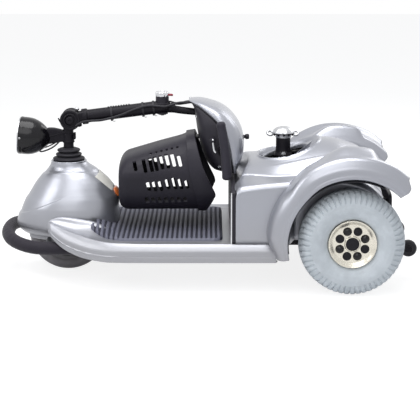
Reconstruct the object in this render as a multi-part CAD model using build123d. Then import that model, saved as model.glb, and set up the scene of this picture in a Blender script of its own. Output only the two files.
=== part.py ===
from build123d import *
import math
import os

# Compact three-wheel electric mobility scooter, seat taken off and tiller folded down.
# Millimetres. +X is forward, +Y is the rider's left, +Z is up, and z = 0 is the floor.

# ---- overall reach ----
FRONT_X = 529.0          # front of the bumper
REAR_X = -529.0          # back of the anti-tip wheels
FENDER_Y = 290.0         # outer lip of each rear fender

# ---- clearances ----
FIT = 0.3                # seat between two pieces of one body
BEARING = 0.5            # radial play on axles and pins
SWEEP = 5.0              # free space round a piece that turns

# ---- rear wheels ----
REAR_AXLE_X = -350.0
REAR_TYRE_R = 130.0
REAR_TYRE_W = 85.0
REAR_RIM_R = 61.0
REAR_RIM_W = 50.0
REAR_TRACK = 480.0       # between the tyres' middle planes
RIM_WALL = 6.0
RIM_DISC_T = 6.0
RIM_HOLES = 8
RIM_HOLE_R = 9.5
RIM_HOLE_CIRCLE_R = 33.0
REAR_HUB_R = 17.0
REAR_SHAFT_R = 8.5
HUB_CAP_R = 15.5
HUB_CAP_T = 8.0

# ---- front wheel and fork ----
STEER_X = 355.0          # vertical steering axis
FORK_OFFSET = 6.0        # axle ahead of the steering axis
FRONT_TYRE_R = 100.0
FRONT_TYRE_W = 50.0
FRONT_RIM_R = 62.0
FRONT_RIM_W = 34.0
FRONT_HUB_R = 15.0
FRONT_HUB_W = 58.0
FRONT_AXLE_R = 6.0
AXLE_NUT_R = 10.0
AXLE_NUT_T = 9.0
FORK_LEG_T = 8.0
FORK_LEG_W = 30.0
FORK_CROWN_T = 10.0
STEM_R = 13.0
HEAD_TUBE_R = 23.0
HEAD_TUBE_BOTTOM = 228.0
HEAD_TUBE_TOP = 283.0

# ---- front cowl ----
COWL_WALL = 4.0
COWL_BOTTOM_Z = 112.0
COWL_TOP_Z = 287.0
COWL_COLLAR_R = 44.0
COWL_HALF_W = 110.0
COWL_NOSE_X = 489.0
COWL_BACK_X = 229.0

# ---- bellows ----
BELLOWS_BOTTOM_R = 41.0
BELLOWS_TOP_R = 29.0
BELLOWS_H = 32.0
BELLOWS_RINGS = 3

# ---- deck ----
DECK_REAR_X = -165.0
DECK_HALF_W = 245.0
DECK_BOTTOM_Z = 79.0
DECK_TOP_Z = 118.0
DECK_WALL = 4.0
DECK_SHOULDER_X = 225.0
LOBE_TIP_X = 396.0
LOBE_TIP_Y = 138.0
LOBE_TOP_Z = 162.0        # inner edge of each lobe, beside the cowl
LOBE_GAP = 4.0           # between each lobe and the cowl

# ---- floor mat ----
MAT_REAR_X = -39.0
MAT_FRONT_X = 268.0
MAT_HALF_W = 188.0
MAT_BASE_T = 4.0
RIB_PITCH = 20.0
RIB_W = 10.0
RIB_H = 3.0

# ---- bumper ----
BUMPER_R = 17.0
BUMPER_TIP_Z = 109.0
BUMPER_ARM_Z = 90.0
BUMPER_ARM_Y = 150.0
BUMPER_ARM_X = 425.0
BUMPER_BACK_X = 300.0

# ---- rear shroud ----
SHROUD_FRONT_X = -70.0
SHROUD_WALL = 4.0
SHROUD_BACK_X = -432.0
SHROUD_BOTTOM_Z = 125.0
SHROUD_REAR_HALF = 186.0
POST_HOLE_R = 56.0
PANEL_T = 12.0           # dark trim on the front of the shroud

# ---- fenders ----
FENDER_WALL = 4.0
FENDER_LIP_R = 156.0
FENDER_CREST_R = 194.0
FENDER_CREST_Y = 252.0
FENDER_INNER_Y = 150.0
FENDER_DOME_R = 219.0
FENDER_DOME_Y = 212.0
FENDER_START = -13.0     # degrees, at the front bottom end
FENDER_END = 134.0       # degrees, at the tail
DOME_START = 15.0
DOME_END = 118.0

# ---- seat post ----
POST_X = -195.0
POST_R = 18.5
POST_TOP_Z = 349.0
PLATE_R = 27.0
PLATE_T = 9.0
DOME_H = 12.0
DOME_TOP_R = 15.0
EAR_R = 9.0
EAR_REACH = 38.0

# ---- steel frame ----
RAIL = 26.0
RAIL_Y = 80.0
RAIL_Z = 98.0
RAIL_FRONT_X = 248.0
RAIL_REAR_X = -440.0
CROSS_XS = (235.0, 40.0, -150.0, -235.0, -427.0)
RISER_T = 10.0
RISER_W = 40.0

# ---- drive and battery ----
AXLE_TUBE_R = 18.0
MOTOR_R = 45.0
BATTERY_L = 72.0
BATTERY_W = 300.0
BATTERY_H = 100.0

# ---- tail panel and anti-tip wheels ----
TAIL_X = -446.0
TAIL_T = 10.0
TAIL_HALF_W = 170.0
TAIL_BOTTOM_Z = 128.0
TAIL_TOP_Z = 235.0
TIP_WHEEL_R = 21.0
TIP_WHEEL_W = 16.0
TIP_WHEEL_Z = 81.0
TIP_ARM_T = 6.0
TIP_GAP = 2.0            # between each small wheel and its cheeks
TIP_WHEEL_Y = RAIL_Y + RAIL / 2 + FIT + TIP_ARM_T + TIP_GAP + TIP_WHEEL_W / 2
TIP_PIN_R = 4.0

# ---- tiller ----
KNUCKLE_X = STEER_X - 7.0
KNUCKLE_Z = 393.0
KNUCKLE_R = 26.0
KNUCKLE_TONGUE = 24.0
KNUCKLE_CHEEK = 13.0
KNUCKLE_PIN_R = 6.0
TUBE_R = 16.0
NECK_R = 11.0
NECK_DROP = 12.0         # fall of the neck towards the head
TUBE_BEND_X = 118.0
TUBE_BEND_Z = 425.0
HEAD_X = 36.0
COLLAR_R = 20.0

# ---- tiller head ----
HEAD_HALF_W = 100.0
HEAD_WALL = 3.0
HEAD_TIP_X = -95.0
HEAD_SWEEP = 16.0        # from the head's tip to the shroud's hollowed front
PANEL_HALF_W = HEAD_HALF_W - HEAD_WALL - FIT
GRIP_R = 13.0
GRIP_Y = 122.0
NOSE_HALF_W = 40.0       # of the head where the neck enters it
KNOB_X = 112.0
BAR_R = 9.0
BAR_Z = 330.0
LEVER_R = 3.0
CABLE_R = 3.0
KNOB_R = 16.0

# ---- basket ----
BASKET_FRONT_X = 223.0
BASKET_BOTTOM_Z = 166.0
BASKET_DROP = 64.0       # from the neck's axis down to the basket's top
BASKET_TOP_Z = TUBE_BEND_Z - BASKET_DROP
BASKET_HALF_W = 110.0
BASKET_WALL = 3.5
BASKET_RIM = 26.0
BASKET_RIM_OUT = 5.0
BASKET_CORNER = 36.0
BASKET_SLOPE = 0.288     # fall of the top per millimetre forward
MOUTH_TOP_X = 28.0
MOUTH_LOW_X = -34.0
MOUTH_REACH = 415.0      # of the mouth from the folding joint, which rounds its lower corner
SLOT_W = 7.0
SLOT_PITCH = 15.2
SLOT_H = 33.0
UPPER_SLOTS = 9
LOWER_SLOTS = 7

# ---- headlight ----
LAMP_X = 487.0
LAMP_Z = 352.0
LAMP_R = 46.5
LAMP_DEPTH = 80.0
LAMP_TILT = 8.0
LAMP_WALL = 2.5

FRONT_AXLE_X = STEER_X + FORK_OFFSET


def along_x(radius, x0, x1, y, z):
    """Round bar lying along X."""
    bar = Cylinder(radius, abs(x1 - x0), rotation=(0, 90, 0))
    return Pos((x0 + x1) / 2, y, z) * bar


def along_y(radius, y0, y1, x, z):
    """Round bar lying along Y."""
    bar = Cylinder(radius, abs(y1 - y0), rotation=(90, 0, 0))
    return Pos(x, (y0 + y1) / 2, z) * bar


def along_z(radius, z0, z1, x, y=0.0):
    """Upright round bar."""
    return Pos(x, y, (z0 + z1) / 2) * Cylinder(radius, abs(z1 - z0))


def block(x0, x1, y0, y1, z0, z1):
    """Rectangular block between two corners."""
    middle = Pos((x0 + x1) / 2, (y0 + y1) / 2, (z0 + z1) / 2)
    return middle * Box(abs(x1 - x0), abs(y1 - y0), abs(z1 - z0))


def rod(radius, start, end):
    """Round bar between two points."""
    line = Line(start, end)
    return sweep(Plane(origin=start, z_dir=line % 0) * Circle(radius), path=line)


def beam(side, start, end):
    """Square bar between two points in a plane of constant y."""
    line = Line(start, end)
    section = Plane(origin=start, x_dir=(0, 1, 0), z_dir=line % 0) * Rectangle(side, side)
    return sweep(section, path=line)


def side_slab(points, half_width):
    """Outline in X and Z carried across the vehicle, the same distance to each side."""
    outline = make_face(Polyline(*[(x, 0, z) for x, z in points], close=True))
    return extrude(outline, amount=half_width, both=True)


def curved_slab(lines, half_width):
    """Closed chain of edges in the X-Z plane, carried across the vehicle."""
    return extrude(make_face(lines), amount=half_width, both=True)


def mirrored(shape):
    return mirror(shape, about=Plane.XZ)


def ring(profile, x, y, z):
    """Section drawn as (radius, lateral offset), revolved round a lateral axle."""
    return Pos(x, y, z) * revolve(profile, Axis.Y)


# ---------------------------------------------------------------- rear wheels
def rear_wheel(side):
    """Tyre, rim with its stub shaft, and hub cap of one rear wheel. side is +1 or -1."""
    y = side * REAR_TRACK / 2
    crown = (REAR_TYRE_R - REAR_RIM_R) / 2
    section = Pos(REAR_TYRE_R - crown * 1.1, 0) * Ellipse(crown * 1.1, REAR_TYRE_W / 2)
    tyre = ring(section, REAR_AXLE_X, y, REAR_TYRE_R)
    bore = along_y(REAR_RIM_R + FIT, y - REAR_TYRE_W, y + REAR_TYRE_W, REAR_AXLE_X, REAR_TYRE_R)
    tyre = tyre - bore

    face = y + side * REAR_RIM_W / 2
    back = y - side * REAR_RIM_W / 2
    rim = along_y(REAR_RIM_R, back, face, REAR_AXLE_X, REAR_TYRE_R)
    rim = rim - along_y(REAR_RIM_R - RIM_WALL, back - side, face + side, REAR_AXLE_X, REAR_TYRE_R)
    disc = along_y(REAR_RIM_R - RIM_WALL / 2, face - side * 12, face - side * (12 - RIM_DISC_T),
                   REAR_AXLE_X, REAR_TYRE_R)
    for i in range(RIM_HOLES):
        turn = math.radians(360 / RIM_HOLES * (i + 0.5))
        x = REAR_AXLE_X + RIM_HOLE_CIRCLE_R * math.cos(turn)
        z = REAR_TYRE_R + RIM_HOLE_CIRCLE_R * math.sin(turn)
        disc = disc - along_y(RIM_HOLE_R, face - side * 20, face + side, x, z)
    hub = along_y(REAR_HUB_R, back, face - side * 6, REAR_AXLE_X, REAR_TYRE_R)
    shaft = along_y(REAR_SHAFT_R, side * 60, face - side * 8, REAR_AXLE_X, REAR_TYRE_R)
    rim = rim + disc + hub + shaft

    cap = along_y(HUB_CAP_R, face - side * 6 + side * FIT, face + side * (HUB_CAP_T - 6),
                  REAR_AXLE_X, REAR_TYRE_R)
    cap = fillet(cap.edges().filter_by(GeomType.CIRCLE).sort_by(Axis.Y)[-1 if side > 0 else 0], 3)
    return tyre, rim, cap


# ---------------------------------------------------------------- front wheel
def front_wheel():
    crown = (FRONT_TYRE_R - FRONT_RIM_R) / 2
    section = Pos(FRONT_TYRE_R - crown * 1.1, 0) * Ellipse(crown * 1.1, FRONT_TYRE_W / 2)
    tyre = ring(section, FRONT_AXLE_X, 0, FRONT_TYRE_R)
    tyre = tyre - along_y(FRONT_RIM_R + FIT, -FRONT_TYRE_W, FRONT_TYRE_W, FRONT_AXLE_X, FRONT_TYRE_R)
    half = FRONT_RIM_W / 2
    rim = along_y(FRONT_RIM_R, -half, half, FRONT_AXLE_X, FRONT_TYRE_R)
    for side in (-1, 1):
        rim = rim - along_y(FRONT_RIM_R - RIM_WALL, side * 4, side * (half + 1),
                            FRONT_AXLE_X, FRONT_TYRE_R)
    rim = rim + along_y(FRONT_HUB_R, -FRONT_HUB_W / 2, FRONT_HUB_W / 2, FRONT_AXLE_X, FRONT_TYRE_R)
    rim = rim - along_y(FRONT_AXLE_R + BEARING, -FRONT_HUB_W, FRONT_HUB_W, FRONT_AXLE_X, FRONT_TYRE_R)
    return tyre, rim


# ---------------------------------------------------------------- fork and stem
def fork():
    crown_bottom = 2 * FRONT_TYRE_R + SWEEP + 1
    crown_top = crown_bottom + FORK_CROWN_T
    inner = FRONT_HUB_W / 2 + 2
    outer = inner + FORK_LEG_T
    body = block(STEER_X - 20, STEER_X + 20, -outer, outer, crown_bottom, crown_top)
    for side in (-1, 1):
        leg = side_slab([(FRONT_AXLE_X - FORK_LEG_W / 2, FRONT_TYRE_R - 4),
                         (FRONT_AXLE_X + FORK_LEG_W / 2, FRONT_TYRE_R - 4),
                         (STEER_X + 20, crown_top), (STEER_X - 20, crown_top)], FORK_LEG_T / 2)
        leg = leg + along_y(FORK_LEG_W / 2, -FORK_LEG_T / 2, FORK_LEG_T / 2,
                            FRONT_AXLE_X, FRONT_TYRE_R - 4)
        body = body + Pos(0, side * (inner + outer) / 2, 0) * leg
        body = body + along_y(AXLE_NUT_R, side * outer, side * (outer + AXLE_NUT_T),
                              FRONT_AXLE_X, FRONT_TYRE_R)
    body = body + along_y(FRONT_AXLE_R, -outer, outer, FRONT_AXLE_X, FRONT_TYRE_R)
    return body + along_z(STEM_R, crown_top, KNUCKLE_Z - KNUCKLE_R - 8, STEER_X)


def knuckle_base():
    """Tongue and pin of the folding joint, on top of the stem."""
    half = KNUCKLE_TONGUE / 2
    tongue = along_y(KNUCKLE_R - 1.5, -half, half, KNUCKLE_X, KNUCKLE_Z)
    neck = block(STEER_X - 13, STEER_X + 13, -half, half, KNUCKLE_Z - KNUCKLE_R - 8 + FIT, KNUCKLE_Z)
    reach = half + KNUCKLE_CHEEK + 4
    pin = along_y(KNUCKLE_PIN_R, -reach, reach, KNUCKLE_X, KNUCKLE_Z)
    heads = [along_y(11, side * (reach - 3), side * (reach + 2), KNUCKLE_X, KNUCKLE_Z) for side in (-1, 1)]
    return tongue + neck + pin + heads[0] + heads[1]


# ---------------------------------------------------------------- headlight
def lamp_place():
    return Pos(LAMP_X, 0, LAMP_Z) * Rot(0, -LAMP_TILT, 0)


def bowl_section(wall):
    """Half-outline of the lamp bowl, from its mouth back to the boss."""
    r = LAMP_R - wall
    back = -LAMP_DEPTH + 2 * wall
    mouth = 1 if wall > 0 else 0
    return Plane.XZ * make_face([
        Line((mouth, 0), (mouth, r)),
        Line((mouth, r), (-12, r)),
        ThreePointArc((-12, r), (-56 + wall, 34 - wall), (back, 12 - wall)),
        Line((back, 12 - wall), (back, 0)),
        Line((back, 0), (mouth, 0)),
    ])


def lamp_bowl(wall):
    return lamp_place() * revolve(bowl_section(wall), Axis.X)


def headlight_shell():
    """Bowl, open to the front."""
    return lamp_bowl(0) - lamp_bowl(LAMP_WALL)


def headlight_bracket():
    arm = beam(12, (STEER_X + STEM_R - 3, 0, 342), (LAMP_X - LAMP_DEPTH + 4, 0, LAMP_Z - 9))
    collar = along_z(STEM_R + 6, 330, 356, STEER_X)
    bored = collar + arm - along_z(STEM_R + FIT, 320, 364, STEER_X)
    return bored - lamp_bowl(0)


def headlight_lens():
    return lamp_place() * Pos(-6, 0, 0) * Cylinder(LAMP_R - LAMP_WALL - FIT, 4, rotation=(0, 90, 0))


# ---------------------------------------------------------------- front cowl
def cowl_solid(inset):
    """Bell over the front wheel: ellipses from the skirt up to the round collar."""
    levels = [
        (COWL_BOTTOM_Z, COWL_NOSE_X - 9, COWL_BACK_X, COWL_HALF_W - 2),
        (COWL_BOTTOM_Z + 26, COWL_NOSE_X, COWL_BACK_X, COWL_HALF_W),
        (198, COWL_NOSE_X - 22, COWL_BACK_X + 6, COWL_HALF_W - 10),
        (238, COWL_NOSE_X - 49, COWL_BACK_X + 30, COWL_HALF_W - 32),
        (266, COWL_NOSE_X - 78, COWL_BACK_X + 54, COWL_HALF_W - 54),
        (COWL_TOP_Z, STEER_X + COWL_COLLAR_R, STEER_X - COWL_COLLAR_R, COWL_COLLAR_R),
    ]
    sections = []
    for z, front, back, half in levels:
        disc = Ellipse((front - back) / 2 - inset, half - inset)
        sections.append(Pos((front + back) / 2, 0, z) * disc)
    return loft(sections)


def front_cowl():
    shell = cowl_solid(0) - cowl_solid(COWL_WALL)
    shell = shell - along_z(COWL_COLLAR_R - COWL_WALL, COWL_TOP_Z - 6, COWL_TOP_Z + 1, STEER_X)
    return shell


def bellows():
    """Ribbed rubber boot between the cowl's collar and the stem."""
    body = None
    step = BELLOWS_H / BELLOWS_RINGS
    for i in range(BELLOWS_RINGS):
        share = i / (BELLOWS_RINGS - 1)
        r = BELLOWS_BOTTOM_R + (BELLOWS_TOP_R - BELLOWS_BOTTOM_R) * share
        z = COWL_TOP_Z + FIT + step * i
        lower = Pos(STEER_X, 0, z + step / 4) * Cone(r - 6, r, step / 2)
        upper = Pos(STEER_X, 0, z + step * 3 / 4) * Cone(r, r - 6, step / 2)
        body = lower + upper if body is None else body + lower + upper
    return body - along_z(STEM_R + 1, COWL_TOP_Z - 1, COWL_TOP_Z + BELLOWS_H + 1, STEER_X)


# ---------------------------------------------------------------- deck
def deck_plan(inset):
    """Plan of the deck: straight sides that taper to the two lobes beside the cowl."""
    w = DECK_HALF_W - inset
    rear = DECK_REAR_X - inset
    tip = LOBE_TIP_X - inset
    half = [
        Line((rear, 0), (rear, w)),
        Line((rear, w), (DECK_SHOULDER_X, w)),
        ThreePointArc((DECK_SHOULDER_X, w), (305, 216 - inset), (372, 165 - inset)),
        ThreePointArc((372, 165 - inset), (tip, LOBE_TIP_Y), (380, COWL_HALF_W + LOBE_GAP + inset)),
        Line((380, COWL_HALF_W + LOBE_GAP + inset), (380, 0)),
        Line((380, 0), (rear, 0)),
    ]
    plan = make_face(half)
    return plan + mirror(plan, about=Plane.XZ)


def deck_form(drop):
    """Deck as cross-sections along X: level floor, then lobes that slope out and down from the cowl."""
    w = DECK_HALF_W + 8
    top = DECK_TOP_Z
    lip = LOBE_TOP_Z
    stations = [
        (DECK_REAR_X - 15, w, top, top, DECK_BOTTOM_Z),
        (205, w, top, top, DECK_BOTTOM_Z),
        (250, 242, top + 14, top, DECK_BOTTOM_Z + 1),
        (285, 230, lip - 12, top, DECK_BOTTOM_Z + 2),
        (323, 206, lip - 2, top + 4, DECK_BOTTOM_Z + 8),
        (358, 181, lip, top + 12, DECK_BOTTOM_Z + 19),
        (383, 160, lip - 2, top + 20, DECK_BOTTOM_Z + 35),
        (LOBE_TIP_X + 2, 146, lip - 10, top + 26, DECK_BOTTOM_Z + 54),
    ]
    inner = COWL_HALF_W + LOBE_GAP
    sections = []
    for x, half, crest, rim, low in stations:
        right = [(x, inner, crest - drop), (x, half, rim - drop), (x, half, low - drop)]
        left = [(px, -py, pz) for px, py, pz in reversed(right)]
        sections.append(make_face(Polyline(*right, *left, close=True)))
    return loft(sections, ruled=True)


def mat_plan(grow):
    """Plan of the floor mat, without the ribs."""
    w = MAT_HALF_W + grow
    front = MAT_FRONT_X + grow
    rear = MAT_REAR_X - grow
    shoulder = front - 60
    corner = w - 42
    points = [(rear, -w), (shoulder, -w), (front, -corner), (front, corner), (shoulder, w), (rear, w)]
    return make_face(Polyline(*points, close=True))


def deck():
    body = extrude(deck_plan(0), amount=300) & deck_form(0)
    hollow = extrude(deck_plan(DECK_WALL), amount=300) & deck_form(DECK_WALL)
    floor_keep = block(DECK_REAR_X - 10, MAT_FRONT_X + 8, -400, 400,
                       DECK_TOP_Z - DECK_WALL, DECK_TOP_Z + 100)
    hollow = hollow - floor_keep
    body = body - hollow
    body = body - Pos(0, 0, DECK_TOP_Z) * extrude(mat_plan(1.0), amount=100)
    well = cowl_solid(-FIT)
    well = well + block(STEER_X, 480, -COWL_HALF_W - LOBE_GAP / 2, COWL_HALF_W + LOBE_GAP / 2, 60, 300)
    under = extrude(Pos((COWL_NOSE_X + COWL_BACK_X) / 2, 0, 60)
                    * Ellipse((COWL_NOSE_X - COWL_BACK_X) / 2, COWL_HALF_W), amount=COWL_BOTTOM_Z - 59)
    return body - well - under - bumper(1.0)


def deck_mat():
    base = Pos(0, 0, DECK_TOP_Z) * extrude(mat_plan(0), amount=MAT_BASE_T)
    tall = Pos(0, 0, DECK_TOP_Z) * extrude(mat_plan(-6), amount=MAT_BASE_T + RIB_H)
    ribs = None
    count = int((MAT_FRONT_X - MAT_REAR_X - 2 * RIB_W) / RIB_PITCH) + 1
    for i in range(count):
        x = MAT_REAR_X + RIB_W + 6 + RIB_PITCH * i
        rib = block(x - RIB_W / 2, x + RIB_W / 2, -MAT_HALF_W, MAT_HALF_W,
                    DECK_TOP_Z + MAT_BASE_T - 1, DECK_TOP_Z + MAT_BASE_T + RIB_H)
        ribs = rib if ribs is None else ribs + rib
    body = base + (ribs & tall)
    return body - cowl_solid(-FIT)


# ---------------------------------------------------------------- bumper
def bumper(grow=0.0):
    """Foam-covered tube round the front, tilted up a little at its nose."""
    tip = FRONT_X - BUMPER_R
    y = BUMPER_ARM_Y
    low = BUMPER_ARM_Z
    rise = BUMPER_TIP_Z - BUMPER_ARM_Z
    arm = [
        (BUMPER_BACK_X, y - 6, low), (BUMPER_ARM_X - 30, y, low),
        (BUMPER_ARM_X + 7, y - 4, low + rise * 0.1), (tip - 20, y - 48, low + rise * 0.6),
        (tip, 0, BUMPER_TIP_Z),
    ]
    other = [(px, -py, pz) for px, py, pz in reversed(arm[:-1])]
    route = Spline(*arm, *other, tangents=((1, 0, 0), (-1, 0, 0)))
    start = route @ 0
    return sweep(Plane(origin=start, z_dir=route % 0) * Circle(BUMPER_R + grow), path=route)


# ---------------------------------------------------------------- frame
def frame():
    """Two rails, cross members, the riser over the front wheel and its head tube."""
    low = RAIL_Z - RAIL / 2
    high = RAIL_Z + RAIL / 2
    body = None
    for side in (-1, 1):
        rail = block(RAIL_REAR_X, RAIL_FRONT_X, side * RAIL_Y - RAIL / 2, side * RAIL_Y + RAIL / 2,
                     low, high)
        body = rail if body is None else body + rail
    for x in CROSS_XS:
        body = body + block(x - RAIL / 2, x + RAIL / 2, -RAIL_Y, RAIL_Y, low, high)
    heel = RAIL_FRONT_X - RISER_T
    front = STEER_X - HEAD_TUBE_R + 3
    riser = side_slab([(heel, low), (heel, 152), (heel + 22, 204), (front, HEAD_TUBE_TOP - 25),
                       (front, HEAD_TUBE_BOTTOM + 12), (heel + 33, 192), (RAIL_FRONT_X, 146),
                       (RAIL_FRONT_X, low)], RISER_W / 2)
    body = body + riser
    body = body + along_z(HEAD_TUBE_R, HEAD_TUBE_BOTTOM, HEAD_TUBE_TOP, STEER_X)
    body = body - along_z(STEM_R + BEARING, HEAD_TUBE_BOTTOM - 40, HEAD_TUBE_TOP + 1, STEER_X)
    reach = BUMPER_ARM_Y
    body = body + block(RAIL_FRONT_X - RAIL, RAIL_FRONT_X, -reach, reach, low, high)
    for side in (-1, 1):
        y = side * (BUMPER_ARM_Y - 6)
        body = body + block(RAIL_FRONT_X - RAIL, BUMPER_BACK_X - FIT, y - 6, y + 6, low, high)
    return body


def seat_post():
    socket = along_z(POST_R + 6, RAIL_Z + RAIL / 2 + FIT, 250, POST_X)
    post = along_z(POST_R, 240, POST_TOP_Z, POST_X)
    foot = block(POST_X - 26, POST_X + 26, -RAIL_Y - RAIL / 2, RAIL_Y + RAIL / 2,
                 RAIL_Z + RAIL / 2 + FIT, RAIL_Z + RAIL / 2 + 8)
    bolt = along_y(8, 0, POST_R + 16, POST_X, 290)
    return foot + socket + post + bolt


def seat_plate():
    """Swivel head of the seat post, with an eye at each end."""
    z = POST_TOP_Z + FIT
    plate = along_z(PLATE_R, z, z + PLATE_T, POST_X)
    plate = plate + block(POST_X - EAR_REACH, POST_X + EAR_REACH, -9, 9, z, z + 6)
    for side in (-1, 1):
        x = POST_X + side * (EAR_REACH - 2)
        plate = plate + along_z(EAR_R, z, z + 6, x) - along_z(EAR_R - 4, z - 1, z + 7, x)
    dome = Pos(POST_X, 0, z + PLATE_T + DOME_H / 2) * Cone(PLATE_R - 2, DOME_TOP_R, DOME_H)
    return plate + dome


# ---------------------------------------------------------------- rear shroud
def shroud_section(x, crown, edge, ledge, half, inset):
    """One cross-section: crowned top, bevelled shoulders, ledge and upright side."""
    top = crown - inset
    rim = edge - inset
    shelf = ledge - inset
    wide = half - inset
    low = SHROUD_BOTTOM_Z
    right = [Vector(x, 108 - inset / 2, rim), Vector(x, 130 - inset / 2, shelf + 14),
             Vector(x, 136 - inset / 2, shelf), Vector(x, wide, shelf - 12), Vector(x, wide, low)]
    left = [Vector(p.X, -p.Y, p.Z) for p in right]
    edges = [ThreePointArc(left[0], Vector(x, 0, top), right[0])]
    for a, b in zip(right, right[1:]):
        edges.append(Line(a, b))
    edges.append(Line(right[-1], left[-1]))
    back = list(reversed(left))
    for a, b in zip(back, back[1:]):
        edges.append(Line(a, b))
    return make_face(edges)


def shroud_solid(inset):
    stations = [
        (SHROUD_FRONT_X - inset, 296, 276, 262, 232),
        (-140, 324, 299, 268, 228),
        (-200, 336, 308, 276, 206),
        (-262, 342, 318, 290, SHROUD_REAR_HALF),
        (-330, 337, 320, 300, SHROUD_REAR_HALF),
        (-385, 315, 300, 284, SHROUD_REAR_HALF),
        (SHROUD_BACK_X + inset, 272, 262, 250, SHROUD_REAR_HALF),
    ]
    sections = [shroud_section(*station, inset) for station in stations]
    return loft(sections, ruled=True)


def shroud_cuts(wall):
    """Room for the swinging tiller head, the post and the wheels, less a wall's thickness."""
    reach = STEER_X - HEAD_TIP_X + HEAD_SWEEP
    cuts = along_z(reach + wall, 245 - wall, 420, STEER_X)
    cuts = cuts + along_z(POST_HOLE_R + wall, 270, 420, POST_X) if wall == 0 else cuts
    for side in (-1, 1):
        y0 = side * (REAR_TRACK / 2 - REAR_TYRE_W / 2 - SWEEP - wall)
        cuts = cuts + along_y(FENDER_LIP_R + wall, y0, side * (FENDER_Y + 20), REAR_AXLE_X, REAR_TYRE_R)
        if wall == 0:
            cuts = cuts + along_y(AXLE_TUBE_R + 4, side * 100, side * 200, REAR_AXLE_X, REAR_TYRE_R)
    return cuts


def rear_shroud():
    inner = shroud_solid(SHROUD_WALL) + block(
        SHROUD_BACK_X + SHROUD_WALL, SHROUD_FRONT_X - SHROUD_WALL, SHROUD_WALL - SHROUD_REAR_HALF,
        SHROUD_REAR_HALF - SHROUD_WALL, SHROUD_BOTTOM_Z - 10, SHROUD_BOTTOM_Z + 1)
    return shroud_solid(0) - shroud_cuts(0) - (inner - shroud_cuts(SHROUD_WALL))


def front_panel():
    """Dark trim plate that closes the front of the rear shroud."""
    face = SHROUD_FRONT_X + FIT
    plate = block(face, face + PANEL_T, -232, 232, DECK_TOP_Z + FIT, 252)
    return fillet(plate.edges().filter_by(Axis.X).group_by(Axis.Z)[-1], 24)


# ---------------------------------------------------------------- fenders
def turned_about_axle(profile, start, end):
    """Section drawn as (radius, offset from the middle plane), swept round the rear axle."""
    shape = revolve(profile, Axis.Y, revolution_arc=end - start)
    return Pos(REAR_AXLE_X, 0, REAR_TYRE_R) * Rot(0, -end, 0) * shape


def fender():
    """Flared arch band with a higher dome behind its crest, for the left side."""
    lip_r = FENDER_LIP_R
    top_r = FENDER_CREST_R
    y = FENDER_Y
    inner_y = SHROUD_REAR_HALF + FIT
    band = make_face([
        Line((lip_r, y), (top_r - 8, y - 22)),
        ThreePointArc((top_r - 8, y - 22), (top_r - 1, y - 32), (top_r, FENDER_CREST_Y - 12)),
        Line((top_r, FENDER_CREST_Y - 12), (top_r - 6, inner_y)),
        Line((top_r - 6, inner_y), (top_r - 6 - FENDER_WALL, inner_y)),
        Line((top_r - 6 - FENDER_WALL, inner_y), (top_r - FENDER_WALL, FENDER_CREST_Y - 14)),
        ThreePointArc((top_r - FENDER_WALL, FENDER_CREST_Y - 14), (top_r - 6, y - 36),
                      (top_r - 13, y - 26)),
        Line((top_r - 13, y - 26), (lip_r - 1, y - FENDER_WALL)),
        Line((lip_r - 1, y - FENDER_WALL), (lip_r, y)),
    ])
    arch = turned_about_axle(band, FENDER_START, FENDER_END)
    dome = make_face([
        Line((top_r - 7, 240), (FENDER_DOME_R - 6, 226)),
        ThreePointArc((FENDER_DOME_R - 6, 226), (FENDER_DOME_R, FENDER_DOME_Y - 4),
                      (FENDER_DOME_R - 10, inner_y + 2)),
        Line((FENDER_DOME_R - 10, inner_y + 2), (FENDER_DOME_R - 57, FENDER_INNER_Y)),
        Line((FENDER_DOME_R - 57, FENDER_INNER_Y), (FENDER_DOME_R - 65, FENDER_INNER_Y)),
        Line((FENDER_DOME_R - 65, FENDER_INNER_Y), (top_r - 7, inner_y)),
        Line((top_r - 7, inner_y), (top_r - 7, 240)),
    ])
    crest = turned_about_axle(dome, DOME_START, DOME_END)
    body = arch + crest
    body = body - shroud_solid(-FIT)
    return body - block(DECK_REAR_X - FIT, 0, 0, 400, 0, DECK_TOP_Z + FIT)


# ---------------------------------------------------------------- drive, battery, tail
def transaxle():
    tube = along_y(AXLE_TUBE_R, -150, 150, REAR_AXLE_X, REAR_TYRE_R)
    body = tube + along_y(58, -30, 30, REAR_AXLE_X, REAR_TYRE_R)
    body = body + along_x(MOTOR_R, REAR_AXLE_X + 20, REAR_AXLE_X + 124, 0, REAR_TYRE_R + 26.5)
    for side in (-1, 1):
        body = body - along_y(REAR_SHAFT_R + BEARING, side * 50, side * 151, REAR_AXLE_X, REAR_TYRE_R)
        body = body + block(REAR_AXLE_X - 14, REAR_AXLE_X + 14, side * (RAIL_Y - 8), side * (RAIL_Y + 8),
                            RAIL_Z + RAIL / 2 + FIT, REAR_TYRE_R - REAR_SHAFT_R - 3)
    return body


def battery():
    x0 = SHROUD_FRONT_X - 12
    return block(x0 - BATTERY_L, x0, -BATTERY_W / 2, BATTERY_W / 2, DECK_TOP_Z + FIT,
                 DECK_TOP_Z + FIT + BATTERY_H)


def tail_panel():
    plate = block(TAIL_X - TAIL_T, TAIL_X, -TAIL_HALF_W, TAIL_HALF_W, TAIL_BOTTOM_Z, TAIL_TOP_Z)
    plate = fillet(plate.edges().filter_by(Axis.X), 14)
    for side in (-1, 1):
        plate = plate + block(TAIL_X - 1, SHROUD_BACK_X - FIT, side * 150 - 4, side * 150 + 4, 140, 220)
    return plate


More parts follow.
